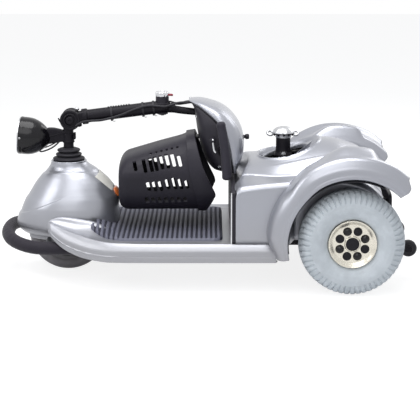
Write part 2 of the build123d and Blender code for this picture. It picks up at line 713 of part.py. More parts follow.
def tip_arms():
    body = None
    wheel_x = REAR_X + TIP_WHEEL_R
    for side in (-1, 1):
        y = side * TIP_WHEEL_Y
        for cheek in (-1, 1):
            c = y + cheek * (TIP_WHEEL_W / 2 + TIP_GAP + TIP_ARM_T / 2)
            arm = side_slab([(RAIL_REAR_X + 30, RAIL_Z - 8), (wheel_x, TIP_WHEEL_Z - 8),
                             (wheel_x, TIP_WHEEL_Z + 8), (RAIL_REAR_X + 30, RAIL_Z + 8)], TIP_ARM_T / 2)
            arm = arm + along_y(8, -TIP_ARM_T / 2, TIP_ARM_T / 2, wheel_x, TIP_WHEEL_Z)
            body = Pos(0, c, 0) * arm if body is None else body + Pos(0, c, 0) * arm
        body = body + along_y(TIP_PIN_R, y - 17, y + 17, wheel_x, TIP_WHEEL_Z)
        body = body + block(RAIL_REAR_X + 2, RAIL_REAR_X + 28, y - 14, y + 14, RAIL_Z - 8, RAIL_Z + 8)
    return body


def tip_wheel(side):
    x = REAR_X + TIP_WHEEL_R
    y = side * TIP_WHEEL_Y
    wheel = along_y(TIP_WHEEL_R, y - TIP_WHEEL_W / 2, y + TIP_WHEEL_W / 2, x, TIP_WHEEL_Z)
    wheel = fillet(wheel.edges().filter_by(GeomType.CIRCLE), 3)
    return wheel - along_y(TIP_PIN_R + BEARING, y - 20, y + 20, x, TIP_WHEEL_Z)


# ---------------------------------------------------------------- tiller
def neck(grow):
    """Slimmer end of the tube, from the bend down into the head."""
    end = (HEAD_X - 20 - grow, 0, TUBE_BEND_Z - NECK_DROP)
    return rod(NECK_R + grow, (TUBE_BEND_X, 0, TUBE_BEND_Z), end)


def tiller_tube():
    """Cheeks of the folding joint, collar, main tube and slimmer neck."""
    inner = KNUCKLE_TONGUE / 2 + BEARING
    outer = inner + KNUCKLE_CHEEK
    start = (STEER_X - 30, 0, KNUCKLE_Z + 6)
    bend = (TUBE_BEND_X, 0, TUBE_BEND_Z)
    body = None
    for side in (-1, 1):
        cheek = along_y(KNUCKLE_R, side * inner, side * outer, KNUCKLE_X, KNUCKLE_Z)
        arm = side_slab([(KNUCKLE_X, KNUCKLE_Z + 18), (KNUCKLE_X - 45, KNUCKLE_Z + 22),
                         (KNUCKLE_X - 45, KNUCKLE_Z - 10), (KNUCKLE_X, KNUCKLE_Z - 18)], KNUCKLE_CHEEK / 2)
        cheek = cheek + Pos(0, side * (inner + outer) / 2, 0) * arm
        body = cheek if body is None else body + cheek
    body = body - along_y(KNUCKLE_PIN_R + BEARING, -outer - 1, outer + 1, KNUCKLE_X, KNUCKLE_Z)
    slope = math.degrees(math.atan2(TUBE_BEND_Z - start[2], start[0] - TUBE_BEND_X))
    collar = Pos(STEER_X - 44, 0, KNUCKLE_Z + 6 + 14 * math.tan(math.radians(slope)))
    body = body + collar * Rot(0, slope, 0) * Cylinder(COLLAR_R, 16, rotation=(0, 90, 0))
    tube = rod(TUBE_R, (STEER_X - 38, 0, KNUCKLE_Z + 6 + 8 * math.tan(math.radians(slope))), bend)
    body = body + tube
    return body + Pos(*bend) * Sphere(TUBE_R) + neck(0)


def adjuster_knob():
    """Clamp knob over the tube, its screw through it and the nut below."""
    top = TUBE_BEND_Z + TUBE_R
    knob = along_z(KNOB_R, top - 1, top + 13, KNOB_X) + along_z(KNOB_R + 1, top + 13, top + 25, KNOB_X)
    nut = along_z(11, TUBE_BEND_Z - TUBE_R - 6, TUBE_BEND_Z - TUBE_R + 1, KNOB_X)
    return knob, nut


def head_outline(inset):
    """Side outline of the tiller head's cover, from its front edge over the top to its lower tip."""
    return [
        Spline((44, 0, 449 - inset), (-7, 0, 449 - inset), (-58 + inset * 0.6, 0, 430 - inset * 0.8),
               (HEAD_TIP_X + 11 + inset, 0, 393 - inset * 0.3), (HEAD_TIP_X + inset, 0, 345),
               (HEAD_TIP_X + 8 + inset, 0, 300), (-70 + inset, 0, 266 + inset),
               tangents=((-1, 0, 0.1), (0.5, 0, -0.85))),
    ]


def head_plan(inset):
    """Plan of the tiller head: narrow where the neck enters, full width over the grips."""
    w = HEAD_HALF_W - inset
    right = [(48, NOSE_HALF_W - inset), (15, 68 - inset), (-7, 87 - inset), (-22, 95 - inset), (-32, w),
             (HEAD_TIP_X + 14, w), (HEAD_TIP_X - 2, w - 12)]
    left = [(x, -y) for x, y in reversed(right)]
    return Pos(0, 0, 200) * extrude(make_face(Polyline(*right, *left, close=True)), amount=300)


def head_crown(inset):
    """Rounded top of the head, seen from the front."""
    w = HEAD_HALF_W + 5
    high = 450 - inset
    outline = make_face([
        Line((0, -w, 200), (0, -w, high - 28)),
        ThreePointArc((0, -w, high - 28), (0, 0, high), (0, w, high - 28)),
        Line((0, w, high - 28), (0, w, 200)),
        Line((0, w, 200), (0, -w, 200)),
    ])
    return extrude(outline, amount=150, both=True)


def rounded_head(edges, inset):
    return curved_slab(edges, HEAD_HALF_W - inset) & head_plan(inset) & head_crown(inset)


def cover_solid(inset):
    edges = head_outline(inset)
    edges.append(Line((-70 + inset, 0, 266 + inset), (-60 + inset * 0.2, 0, 290)))
    edges.append(ThreePointArc((-60 + inset * 0.2, 0, 290), (-47, 0, 375), (44, 0, 420)))
    edges.append(Line((44, 0, 420), (44, 0, 449 - inset)))
    return rounded_head(edges, inset)


def head_cover():
    """Silver shell of the tiller head."""
    inner = [
        *head_outline(HEAD_WALL),
        Line((-70 + HEAD_WALL, 0, 266 + HEAD_WALL), (-30, 0, 240)),
        Line((-30, 0, 240), (60, 0, 330)),
        Line((60, 0, 330), (44, 0, 449 - HEAD_WALL)),
    ]
    return cover_solid(0) - rounded_head(inner, HEAD_WALL)


def panel_solid(gap):
    """Dark underside of the head, seated in the cover."""
    lower = [(-70 + gap, 266 + gap), (-58, 264), (-38, 263), (-17, 270), (-6, 281), (6, 300), (18, 338),
             (25, 375), (31, 418), (44, 449 - gap)]
    edges = [*head_outline(gap)]
    for (x0, z0), (x1, z1) in zip(lower, lower[1:]):
        edges.append(Line((x0, 0, z0), (x1, 0, z1)))
    return rounded_head(edges, gap)


def head_panel():
    return panel_solid(HEAD_WALL + FIT) - neck(FIT)


def grip_bar(side, grow=0.0):
    y = side * GRIP_Y
    return rod(GRIP_R + grow, (-33, y, 395 + grow), (-49, y, 264 - grow))


def grips():
    bars = []
    for side in (-1, 1):
        grip = grip_bar(side)
        bars.append(fillet(grip.edges().filter_by(GeomType.CIRCLE), 6))
    return Compound(bars)


def handlebar():
    """Stub bars that carry the grips beside the head."""
    bars = []
    for side in (-1, 1):
        bar = along_y(BAR_R, side * (PANEL_HALF_W + FIT), side * GRIP_Y, -37, BAR_Z)
        bars.append(bar - grip_bar(side, FIT))
    return Compound(bars)


def levers():
    """Thumb levers below the bars, one each side."""
    bars = []
    for side in (-1, 1):
        y = side * (HEAD_HALF_W + 4)
        lever = rod(LEVER_R, (-14, y, 352), (-19, y, 322)) + Pos(-19, y, 322) * Sphere(LEVER_R + 2)
        hub = along_y(7, side * 78, side * (HEAD_HALF_W + 8), -14, 352)
        bars.append(lever + hub - panel_solid(HEAD_WALL))
    return Compound(bars)


def speed_knob():
    return along_x(7, HEAD_TIP_X - 13, HEAD_TIP_X + 20, 0, 348) - cover_solid(-FIT)


def tube_z(x):
    """Height of the main tube's axis at x."""
    start_x = STEER_X - 30
    return KNUCKLE_Z + 6 + (TUBE_BEND_Z - KNUCKLE_Z - 6) * (start_x - x) / (start_x - TUBE_BEND_X)


def tiller_cable():
    """Control cable clipped along the near side of the tube."""
    y = TUBE_R + CABLE_R + FIT
    x0 = STEER_X - 62
    x1 = TUBE_BEND_X - 18
    end = (HEAD_X + 14, NECK_R + CABLE_R + 1.5, TUBE_BEND_Z + 1)
    route = FilletPolyline((x0, y, tube_z(x0)), (x1, y, tube_z(x1)), end, radius=60)
    return sweep(Plane(origin=route @ 0, z_dir=route % 0) * Circle(CABLE_R), path=route)


def basket_form(grow):
    """Rounded oblong sections from behind the mouth to the front, the top falling forward."""
    low = BASKET_BOTTOM_Z
    front = BASKET_FRONT_X
    stations = [
        (-70, 0, 0), (front - 22, 0, 0), (front - 7, 6, 5), (front, 18, 14),
    ]
    sections = []
    for x, in_side, in_height in stations:
        top = BASKET_TOP_Z - BASKET_SLOPE * (x - MOUTH_TOP_X)
        half = BASKET_HALF_W - in_side + grow
        height = top - low - 2 * in_height + 2 * grow
        if x == front:
            x = front + min(grow, 0)
        place = Plane(origin=(x, 0, (top + low) / 2), x_dir=(0, 1, 0), z_dir=(1, 0, 0))
        sections.append(place * RectangleRounded(2 * half, height, BASKET_CORNER + grow))
    return loft(sections, ruled=True)


def mouth_slab(start, end):
    """Everything between two planes parallel to the mouth, as distances in front of it."""
    lean = math.atan2(MOUTH_TOP_X - MOUTH_LOW_X, BASKET_TOP_Z - BASKET_BOTTOM_Z)
    up = (math.sin(lean), math.cos(lean))
    deep = (math.cos(lean), -math.sin(lean))
    corners = []
    for rise, run in ((-60, start), (280, start), (280, end), (-60, end)):
        corners.append((MOUTH_LOW_X + up[0] * rise + deep[0] * run,
                        BASKET_BOTTOM_Z + up[1] * rise + deep[1] * run))
    return side_slab(corners, 2 * BASKET_HALF_W)


def basket_rim(grow=0.0):
    """Raised band round the mouth."""
    return basket_form(BASKET_RIM_OUT + grow) & mouth_slab(-grow, BASKET_RIM + grow)


def slot_row(x, z, count, rise):
    """Upright slots through both sides, one pitch apart towards the mouth."""
    slots = None
    for i in range(int(count)):
        place = Pos(x - SLOT_PITCH * i, 0, z + rise * i) * Rot(0, -8, 0)
        slot = place * Box(SLOT_W, 4 * BASKET_HALF_W, SLOT_H)
        slots = slot if slots is None else slots + slot
    return slots


def basket():
    outer = basket_form(0) & mouth_slab(0, 400)
    body = outer + basket_rim() - basket_form(-BASKET_WALL)
    front = BASKET_FRONT_X
    body = body - slot_row(front - 39, BASKET_BOTTOM_Z + 127, UPPER_SLOTS, 1.4)
    body = body - slot_row(front - 86, BASKET_BOTTOM_Z + 83, LOWER_SLOTS, 0)
    return body & along_y(MOUTH_REACH, -2 * BASKET_HALF_W, 2 * BASKET_HALF_W, KNUCKLE_X, KNUCKLE_Z)


def basket_hook():
    """Lug on the front of the head that hooks over the basket's rim."""
    x = MOUTH_TOP_X
    lug = block(x - 18, x + 14, -22, 22, BASKET_TOP_Z - 16, BASKET_TOP_Z + BASKET_RIM_OUT + 7)
    return lug - panel_solid(HEAD_WALL) - basket_rim(FIT) - basket_form(FIT)


def export_all():
    os.makedirs("parts", exist_ok=True)
    left_tyre, left_rim, left_cap = rear_wheel(1)
    right_tyre, right_rim, right_cap = rear_wheel(-1)
    front_tyre, front_rim = front_wheel()
    left_fender = fender()
    knob, nut = adjuster_knob()
    tube = tiller_tube()
    nodes = {
        "frame": frame(),
        "deck": deck(),
        "deck_mat": deck_mat(),
        "front_cowl": front_cowl(),
        "bellows": bellows(),
        "bumper": bumper(),
        "rear_shroud": rear_shroud(),
        "front_panel": front_panel(),
        "fender_left": left_fender,
        "fender_right": mirrored(left_fender),
        "seat_post": seat_post(),
        "seat_plate": seat_plate(),
        "battery": battery(),
        "transaxle": transaxle(),
        "tail_panel": tail_panel(),
        "tip_arms": tip_arms(),
        "fork": fork(),
        "knuckle_base": knuckle_base(),
        "headlight_bracket": headlight_bracket(),
        "headlight_shell": headlight_shell(),
        "headlight_lens": headlight_lens(),
        "front_tyre": front_tyre,
        "front_rim": front_rim,
        "tiller_tube": tube,
        "adjuster_knob": Compound([knob - tube, nut - tube]),
        "head_cover": head_cover(),
        "head_panel": head_panel(),
        "handlebar": handlebar(),
        "grips": grips(),
        "levers": levers(),
        "speed_knob": speed_knob(),
        "tiller_cable": tiller_cable(),
        "basket": basket(),
        "basket_hook": basket_hook() - tube,
        "rear_tyre_left": left_tyre,
        "rear_rim_left": left_rim,
        "hub_cap_left": left_cap,
        "rear_tyre_right": right_tyre,
        "rear_rim_right": right_rim,
        "hub_cap_right": right_cap,
        "tip_wheel_left": tip_wheel(1),
        "tip_wheel_right": tip_wheel(-1),
    }
    for name, shape in nodes.items():
        export_step(shape, f"parts/{name}.step")


export_all()
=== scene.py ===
import math
import bpy
import bmesh
import numpy as np
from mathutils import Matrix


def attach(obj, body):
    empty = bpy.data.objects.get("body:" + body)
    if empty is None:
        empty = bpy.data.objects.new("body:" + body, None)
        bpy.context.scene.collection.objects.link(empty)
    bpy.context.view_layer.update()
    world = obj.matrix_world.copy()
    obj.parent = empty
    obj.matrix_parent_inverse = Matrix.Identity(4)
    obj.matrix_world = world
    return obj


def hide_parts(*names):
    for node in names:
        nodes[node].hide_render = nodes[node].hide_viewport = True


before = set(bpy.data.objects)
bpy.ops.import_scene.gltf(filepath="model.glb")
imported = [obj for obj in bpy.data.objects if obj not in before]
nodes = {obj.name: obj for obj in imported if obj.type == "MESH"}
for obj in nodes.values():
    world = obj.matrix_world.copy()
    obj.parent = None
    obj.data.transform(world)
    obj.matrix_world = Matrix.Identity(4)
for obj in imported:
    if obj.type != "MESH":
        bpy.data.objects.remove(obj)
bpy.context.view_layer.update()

# Folded three-wheel scooter: surfaces in millimetres, turned to metres when a mesh is made
mm = 0.001
print("frame loaded:", len(nodes), "CAD nodes")

# Numpy shapes: a grid is (points, closed along rows, closed along columns)
upward = (0, 0, 1)
sideways = (0, 1, 0)


def xyz(x, y, z):
    return np.stack(np.broadcast_arrays(x, y, z), -1)


def circle(count):
    return np.radians(np.arange(count) * 360 / count)


def bulge(f, exponent):
    # power that keeps the sign, for |x|^n + |y|^n = 1 outlines
    return np.sign(f) * np.abs(f) ** exponent


def ease(a, b, t):
    # smooth step: 0 before a, 1 after b, 3s^2 - 2s^3 between
    s = np.clip((np.asarray(t, float) - a) / (b - a), 0, 1)
    return s * s * (3 - 2 * s)


def hump(f, place, width):
    # bell exp(-((f - place) / width)^2)
    return np.exp(-((f - place) / width) ** 2)


def through(points, count):
    # Catmull-Rom curve through the rows of points, sampled at count even parameters
    p = np.asarray(points, float)
    t = np.linspace(0, len(p) - 1, count)
    i = np.minimum(np.floor(t).astype(int), len(p) - 2)
    ghost = np.concatenate([[2 * p[0] - p[1]], p, [2 * p[-1] - p[-2]]])
    p0, p1, p2, p3 = ghost[i], ghost[i + 1], ghost[i + 2], ghost[i + 3]
    s = (t - i).reshape((-1,) + (1,) * (p.ndim - 1))
    return 0.5 * (2 * p1 + (p2 - p0) * s + (2 * p0 - 5 * p1 + 4 * p2 - p3) * s ** 2
                  + (3 * p1 - p0 - 3 * p2 + p3) * s ** 3)


def softened(points, radius, steps=5, wrap=False):
    # polyline with each corner cut back by radius and bridged by a quadratic curve
    p = np.asarray(points, float)
    r = np.broadcast_to(radius, len(p))
    s = np.linspace(0, 1, steps)[:, None]
    rows = []
    for a, b, c, cut in zip(np.roll(p, 1, 0), p, np.roll(p, -1, 0), r):
        la, lc = np.linalg.norm(a - b), np.linalg.norm(c - b)
        u = b + (a - b) * min(cut, la * 0.48) / max(la, 1e-9)
        v = b + (c - b) * min(cut, lc * 0.48) / max(lc, 1e-9)
        rows.append((1 - s) ** 2 * u + 2 * s * (1 - s) * b + s ** 2 * v)
    if not wrap:
        rows[0], rows[-1] = p[:1], p[-1:]
    return np.concatenate(rows)


def evenly(points, count):
    # the same line, sampled at count equal steps of its length
    p = np.asarray(points, float)
    run = np.concatenate([[0], np.cumsum(np.linalg.norm(np.diff(p, axis=0), axis=1))])
    at = np.linspace(0, run[-1], count)
    return np.stack([np.interp(at, run, p[:, c]) for c in range(p.shape[1])], -1)


def turned(profile, centre, axis, steps=48, closed=False):
    # profile of (radius, height along axis) turned about the axis through centre
    prof = np.asarray(profile, float)
    w = np.asarray(axis, float) / np.linalg.norm(axis)
    u = np.cross(w, [0, 0, 1] if abs(w[2]) < 0.9 else [1, 0, 0])
    u = u / np.linalg.norm(u)
    a = np.radians(np.linspace(0, 360, steps, endpoint=False))[:, None, None]
    pts = (np.asarray(centre, float) + prof[None, :, :1] * (np.cos(a) * u + np.sin(a) * np.cross(w, u))
           + prof[None, :, 1:2] * w)
    return pts, True, closed


def hoop(section, centre, axis, steps=48):
    # the same with a section that closes on itself
    return turned(section, centre, axis, steps, True)


def swept(path, radius, sides=20, capped=True, squash=1.0):
    # round section carried along a path; its ends close in quarter-round rings
    p = np.asarray(path, float)
    r = np.broadcast_to(np.asarray(radius, float), len(p)).copy()
    tangent = np.gradient(p, axis=0)
    tangent /= np.linalg.norm(tangent, axis=1)[:, None]
    up = np.array([0.0, 0.0, 1.0])
    if np.min(np.linalg.norm(np.cross(tangent, up), axis=1)) < 0.2:
        up = np.array([0.0, 1.0, 0.0])
    side = np.cross(tangent, up)
    side /= np.linalg.norm(side, axis=1)[:, None]
    lift = np.cross(side, tangent)
    if capped:
        q = np.radians([0, 35, 60, 80, 90])
        head = p[0] - tangent[0] * r[0] * 0.35 * np.sin(q[::-1])[:, None]
        tail = p[-1] + tangent[-1] * r[-1] * 0.35 * np.sin(q)[:, None]
        r = np.concatenate([r[0] * np.cos(q[::-1]), r, r[-1] * np.cos(q)])
        p = np.concatenate([head + tangent[0] * r[5] * 0.35, p, tail - tangent[-1] * r[-6] * 0.35])
        side, lift = [np.concatenate([np.repeat(d[:1], 5, 0), d, np.repeat(d[-1:], 5, 0)])
                      for d in (side, lift)]
    a = circle(sides)[None, :, None]
    return p[:, None] + r[:, None, None] * (np.cos(a) * side[:, None] + squash * np.sin(a) * lift[:, None]), \
        False, True


def slab(low, high, turnY=0.0):
    # rounded block: superellipsoid |x|^n + |y|^n + |z|^n = 1 with n = 10
    lo, hi = np.asarray(low, float), np.asarray(high, float)
    u, v = np.radians(np.linspace(-90, 90, 17))[:, None], circle(32)[None, :]
    cu, su, cv, sv = [bulge(f, 0.2) for f in (np.cos(u), np.sin(u), np.cos(v), np.sin(v))]
    pts = xyz(cu * cv, cu * sv, su * np.ones_like(v)) * (hi - lo) / 2
    c, s = math.cos(math.radians(turnY)), math.sin(math.radians(turnY))
    x, z = pts[..., 0] * c + pts[..., 2] * s, -pts[..., 0] * s + pts[..., 2] * c
    return xyz(x, pts[..., 1], z) + (lo + hi) / 2, False, True


def boxed(stations, power=5.0, sides=40):
    # loft along X of |y/a|^n + |z/b|^n = 1, each station (x, y, z, a, b); poles close the ends
    c, s = bulge(np.cos(circle(sides)), 2 / power), bulge(np.sin(circle(sides)), 2 / power)
    rows = [xyz(x, y + halfY * c, z + halfZ * s) for x, y, z, halfY, halfZ in stations]
    first, last = [np.repeat(row.mean(0)[None], sides, 0) for row in (rows[0], rows[-1])]
    return np.array([first] + rows + [last]), False, True


def uprightBox(stations, power=5.0):
    # the same loft along Z: each station (z, x, y, a, b)
    return boxed(stations, power)[0][..., [1, 2, 0]], False, True


def otherSide(grid):
    # mirror in the middle plane, y to -y
    return (grid[0] * [1, -1, 1],) + grid[1:]


def hexNut(centre, axis, across=10.0, high=7.0, stub=3.0):
    # hexagon with chamfered ends and the rounded end of its bolt
    nut = [(0, 0), (across * 0.9, 0), (across, 0.9), (across, high - 1), (across * 0.86, high), (0, high)]
    end = [(0, high - 1), (across * 0.45, high - 1), (across * 0.45, high + stub - 0.8),
           (across * 0.36, high + stub), (0, high + stub)]
    return [turned(nut, centre, axis, 6), turned(end, centre, axis, 20)]


def smoothShaded(mesh, angle):
    mesh.polygons.foreach_set("use_smooth", np.ones(len(mesh.polygons), bool))
    mesh.set_sharp_from_angle(angle=math.radians(angle))


def makePiece(name, grids, body, finish, replaces=(), sharp=38, shell=0.0, away=None, keep=None):
    # joins the grids into one mesh, welds seams and poles, and turns every face outwards
    points, faces, start = [], [], 0
    for pts, wrapU, wrapV in grids:
        nu, nv = pts.shape[:2]
        i, j = [g.ravel() for g in np.meshgrid(np.arange(nu if wrapU else nu - 1),
                                               np.arange(nv if wrapV else nv - 1), indexing="ij")]
        i2, j2 = (i + 1) % nu, (j + 1) % nv
        quads = np.stack([i * nv + j, i2 * nv + j, i2 * nv + j2, i * nv + j2], -1)
        if keep is not None:
            quads = quads[keep(pts.reshape(-1, 3)[quads].mean(1))]
        points.append(pts.reshape(-1, 3))
        faces.append(quads + start)
        start += nu * nv
    points, faces = np.concatenate(points) * mm, np.concatenate(faces)
    mesh = bpy.data.meshes.new(name)
    mesh.vertices.add(len(points))
    mesh.vertices.foreach_set("co", points.ravel())
    mesh.loops.add(faces.size)
    mesh.loops.foreach_set("vertex_index", faces.ravel().astype(np.int32))
    mesh.polygons.add(len(faces))
    mesh.polygons.foreach_set("loop_start", np.arange(0, faces.size, 4, dtype=np.int32))
    mesh.update(calc_edges=True)
    mesh.validate()
    work = bmesh.new()
    work.from_mesh(mesh)
    bmesh.ops.remove_doubles(work, verts=work.verts, dist=2e-6)
    bmesh.ops.dissolve_degenerate(work, edges=work.edges, dist=1e-7)
    bmesh.ops.delete(work, geom=[v for v in work.verts if not v.link_faces], context="VERTS")
    bmesh.ops.recalc_face_normals(work, faces=work.faces)
    if away is not None:
        # an open sheet has to face away from this point
        centre = np.asarray(away, float) * mm
        score = sum(f.calc_area() * float(np.dot(f.normal, np.array(f.calc_center_median()) - centre))
                    for f in work.faces)
        if score < 0:
            bmesh.ops.reverse_faces(work, faces=work.faces)
    work.to_mesh(mesh)
    work.free()
    smoothShaded(mesh, sharp)
    piece = bpy.data.objects.new(name, mesh)
    bpy.context.scene.collection.objects.link(piece)
    if shell:
        wall = piece.modifiers.new("wall", "SOLIDIFY")
        wall.thickness = shell * mm
        wall.offset = -1
    mesh.materials.append(paints[finish])
    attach(piece, body)
    if replaces:
        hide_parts(*replaces)
    return piece


# Shader maths

class Signal:
    # one value socket; the operators add Math nodes
    def __init__(self, finish, socket):
        self.finish, self.socket = finish, socket

    def maths(self, operation, *others, clamp=False):
        return self.finish.node("ShaderNodeMath", {"operation": operation, "use_clamp": clamp},
                                dict(enumerate((self,) + others)))

    def __add__(self, other):
        return self.maths("ADD", other)

    def __mul__(self, other):
        return self.maths("MULTIPLY", other)

    def __sub__(self, other):
        return self.maths("SUBTRACT", other)

    def __rsub__(self, other):
        return Signal(self.finish, other).maths("SUBTRACT", self)

    def clamped(self):
        return self.maths("ADD", 0.0, clamp=True)

    def sine(self):
        return self.maths("SINE")

    def size(self):
        return self.maths("ABSOLUTE")

    def fade(self, low, high):
        # 0 below low, 1 above high, even between
        return self.finish.node("ShaderNodeMapRange", {"clamp": True},
                                {"Value": self, "From Min": low, "From Max": high})


class Finish:
    # one material around a Principled shader
    def __init__(self, name, **sockets):
        self.material = bpy.data.materials.new(name)
        self.material.use_nodes = True
        self.tree = self.material.node_tree
        self.shader = self.tree.nodes["Principled BSDF"]
        self.set(**sockets)
        self.place = Signal(self, self.tree.nodes.new("ShaderNodeTexCoord").outputs["Object"])

    def node(self, kind, settings=None, values=None, out=0):
        made = self.tree.nodes.new(kind)
        for key, value in (settings or {}).items():
            setattr(made, key, value)
        for key, value in (values or {}).items():
            self.feed(made.inputs[key], value)
        return Signal(self, made.outputs[out])

    def feed(self, socket, value):
        # a Signal that holds a plain number counts as that number
        value = getattr(value, "socket", value)
        if isinstance(value, bpy.types.NodeSocket):
            self.tree.links.new(value, socket)
        else:
            socket.default_value = value

    def set(self, **sockets):
        for key, value in sockets.items():
            self.feed(self.shader.inputs[key.replace("_", " ")], value)

    def noise(self, scale, detail=3.0, rough=0.5):
        return self.node("ShaderNodeTexNoise", {"noise_dimensions": "3D"},
                         {"Vector": self.place, "Scale": scale, "Detail": detail, "Roughness": rough})

    def cells(self, scale):
        return self.node("ShaderNodeTexVoronoi", None, {"Vector": self.place, "Scale": scale})

    def axis(self, which):
        return self.node("ShaderNodeSeparateXYZ", None, {0: self.place}, out="XYZ".index(which))

    def blend(self, factor, first, second):
        return self.node("ShaderNodeMix", {"data_type": "RGBA"}, {0: factor, 6: first, 7: second}, out=2)

    def done(self, colour, rough, height, strength, depth=0.0003):
        # the three sockets that vary over the surface; bump from the height
        bump = self.node("ShaderNodeBump", None, {"Height": height, "Strength": strength, "Distance": depth})
        self.set(Base_Color=colour, Roughness=rough, Normal=bump)
        return self.material


def shade(colour, lift=0):
    # screen colour 0-255, lifted and kept in range, to linear light: ((c + 0.055) / 1.055) ^ 2.4
    c = np.clip(np.add(colour, lift), 2, 250) / 255
    c = np.where(c <= 0.04045, c / 12.92, ((c + 0.055) / 1.055) ** 2.4)
    return tuple(float(v) for v in c) + (1.0,)


# Finishes

silverLook = {"colour": (160, 162, 170), "flake": 2600, "rough": 0.34}


def paintSilver():
    # metallic flake under a clear coat, with orange peel, dust low down and fine scuffs
    f = Finish("silverPaint", Metallic=0.72, Coat_Weight=0.3, Coat_Roughness=0.16)
    colour = silverLook["colour"]
    dust = 1 - f.axis("Z").fade(0.07, 0.2)
    tone = f.blend((f.noise(6, 2) - 0.35).clamped() * 0.6, shade(colour), shade(colour, -9))
    tone = f.blend(dust * (f.noise(420, 2) * 0.5 + 0.1), tone, shade((150, 146, 142)))
    return f.done(f.blend(f.cells(silverLook["flake"]) * 0.1, tone, shade(colour, 20)),
                  f.noise(180, 4) * 0.1 + silverLook["rough"] - 0.05 + dust * 0.16, f.noise(60, 2), 0.03)


def plastic(name, colour, rough=0.5, grain=900, depth=0.28, lift=12):
    # moulded plastic: fine leather grain, slight bloom and paler rubbed spots
    f = Finish(name, Specular_IOR_Level=0.26)
    cloud = f.noise(14, 4)
    wear = (f.noise(60, 5, 0.7) - 0.56).fade(0.0, 0.16)
    tone = f.blend(cloud, shade(colour), shade(colour, lift))
    return f.done(f.blend(wear * 0.3, tone, shade(colour, 2 * lift)),
                  cloud * 0.18 + rough - 0.09 + wear * 0.1, f.cells(grain), depth, 0.00025)


def rubber(name, colour, rough=0.72, dusty=0.35):
    # rubber with fine pits, mould bloom and pale dust
    f = Finish(name, Specular_IOR_Level=0.3)
    bloom = f.noise(38, 5, 0.62)
    tone = f.blend(bloom, shade(colour, -10), shade(colour, 12))
    return f.done(f.blend((bloom - 0.5).fade(0, 0.3) * dusty, tone, shade(colour, 30)),
                  bloom * 0.16 + rough - 0.08, f.noise(1300, 3, 0.6), 0.22)


def matRubber(colour, dark, pitch):
    # ribbed mat: painted shade in the grooves between ribs, which are also made rougher; mottled bloom on
    # their tops
    f = Finish("matRubber", IOR=1.45)
    stripes = ((f.axis("X") + 0.029) * (2 * math.pi / pitch)).maths("COSINE")
    inside = 1 - f.axis("Y").size().fade(0.178, 0.181)
    # painted shade: between the ribs the colour goes to the dark colour
    grooveShade = (1 - stripes.fade(-0.75, -0.05)) * inside
    bloom = f.noise(38, 5, 0.62)
    tone = f.blend(bloom, shade(colour, -8), shade(colour, 12))
    return f.done(f.blend(grooveShade * 0.85, tone, shade(dark)), bloom * 0.16 + 0.52 + grooveShade * 0.2,
                  f.noise(1300, 3, 0.6), 0.2)


def steel(name, colour, metal=1.0, rough=0.2, brushed=0.0, spots=0.25):
    # plated or powder-coated steel: faint ripples, smears and small pits
    f = Finish(name, Metallic=metal, Specular_IOR_Level=0.2 if metal < 0.5 else 0.5)
    smear = f.noise(30, 4, 0.65)
    pit = (f.noise(240, 3) - 0.6).fade(0, 0.12)
    dull = np.maximum(np.multiply(colour, 0.72), 4)
    return f.done(f.blend(pit * spots + smear * 0.25, shade(colour), shade(dull)),
                  smear * 0.16 + rough - 0.06 + pit * 0.2, f.noise(700, 3) + pit * 0.4, 0.08 + brushed)


def foam(name, colour):
    # closed-cell foam: open pores and a soft mottled surface
    f = Finish(name, Sheen_Weight=0.1, Sheen_Roughness=0.4, Specular_IOR_Level=0.25)
    lumps = f.noise(260, 4)
    return f.done(f.blend(f.noise(30, 4), shade(colour), shade(colour, 16)), lumps * 0.15 + 0.6,
                  f.cells(1500) * 0.6 + lumps, 0.35, 0.0006)


def glossBlack():
    # lacquered plastic with faint waves and dust specks
    f = Finish("lacquerBlack", Coat_Weight=0.22, Coat_Roughness=0.05, Specular_IOR_Level=0.2)
    specks = (f.noise(500, 2) - 0.66).fade(0, 0.05)
    return f.done(f.blend(specks * 0.3, shade((12, 11, 16)), shade((70, 70, 78))),
                  f.noise(22, 3) * 0.12 + 0.16 + specks * 0.2, f.noise(48, 2), 0.06, 0.0008)


def lampGlass():
    # fluted lens: upright ribs crossed by shallow bands; the colour also runs in pale and dark stripes with
    # the ribs, a painted highlight and shade of the flutes
    f = Finish("lampGlass", Coat_Weight=0.5)
    ribs = (f.axis("Y") * 1500).sine()
    bands = (f.axis("Z") * 420).sine()
    # painted highlight and shade: the colour stripes follow the ribs
    return f.done(f.blend((ribs * 0.5 + 0.5) * 0.5, shade((206, 214, 222)), shade((150, 160, 170))),
                  f.noise(80, 3) * 0.08 + 0.07, ribs + bands * 0.5, 0.4, 0.0006)


def reflectorAmber():
    # prismatic amber reflector: two crossed ridge patterns, with paler orange painted on the ridges as the
    # prisms' glints
    f = Finish("reflectorAmber", Coat_Weight=0.7, Coat_Roughness=0.05)
    ridge = ((f.axis("Z") * 1900).sine() * (f.axis("X") * 1900).sine()).size()
    # painted glints: paler orange on the ridges
    return f.done(f.blend(ridge, shade((214, 92, 40)), shade((240, 150, 80))), ridge * 0.2 + 0.18,
                  ridge, 0.4, 0.0005)


def blankSticker():
    # plain sticker, slightly yellowed, with faint creases
    f = Finish("blankSticker")
    return f.done(f.blend(f.noise(70, 4), shade((232, 231, 226)), shade((208, 206, 198))),
                  f.noise(120, 3) * 0.2 + 0.4, f.noise(160, 3), 0.12)


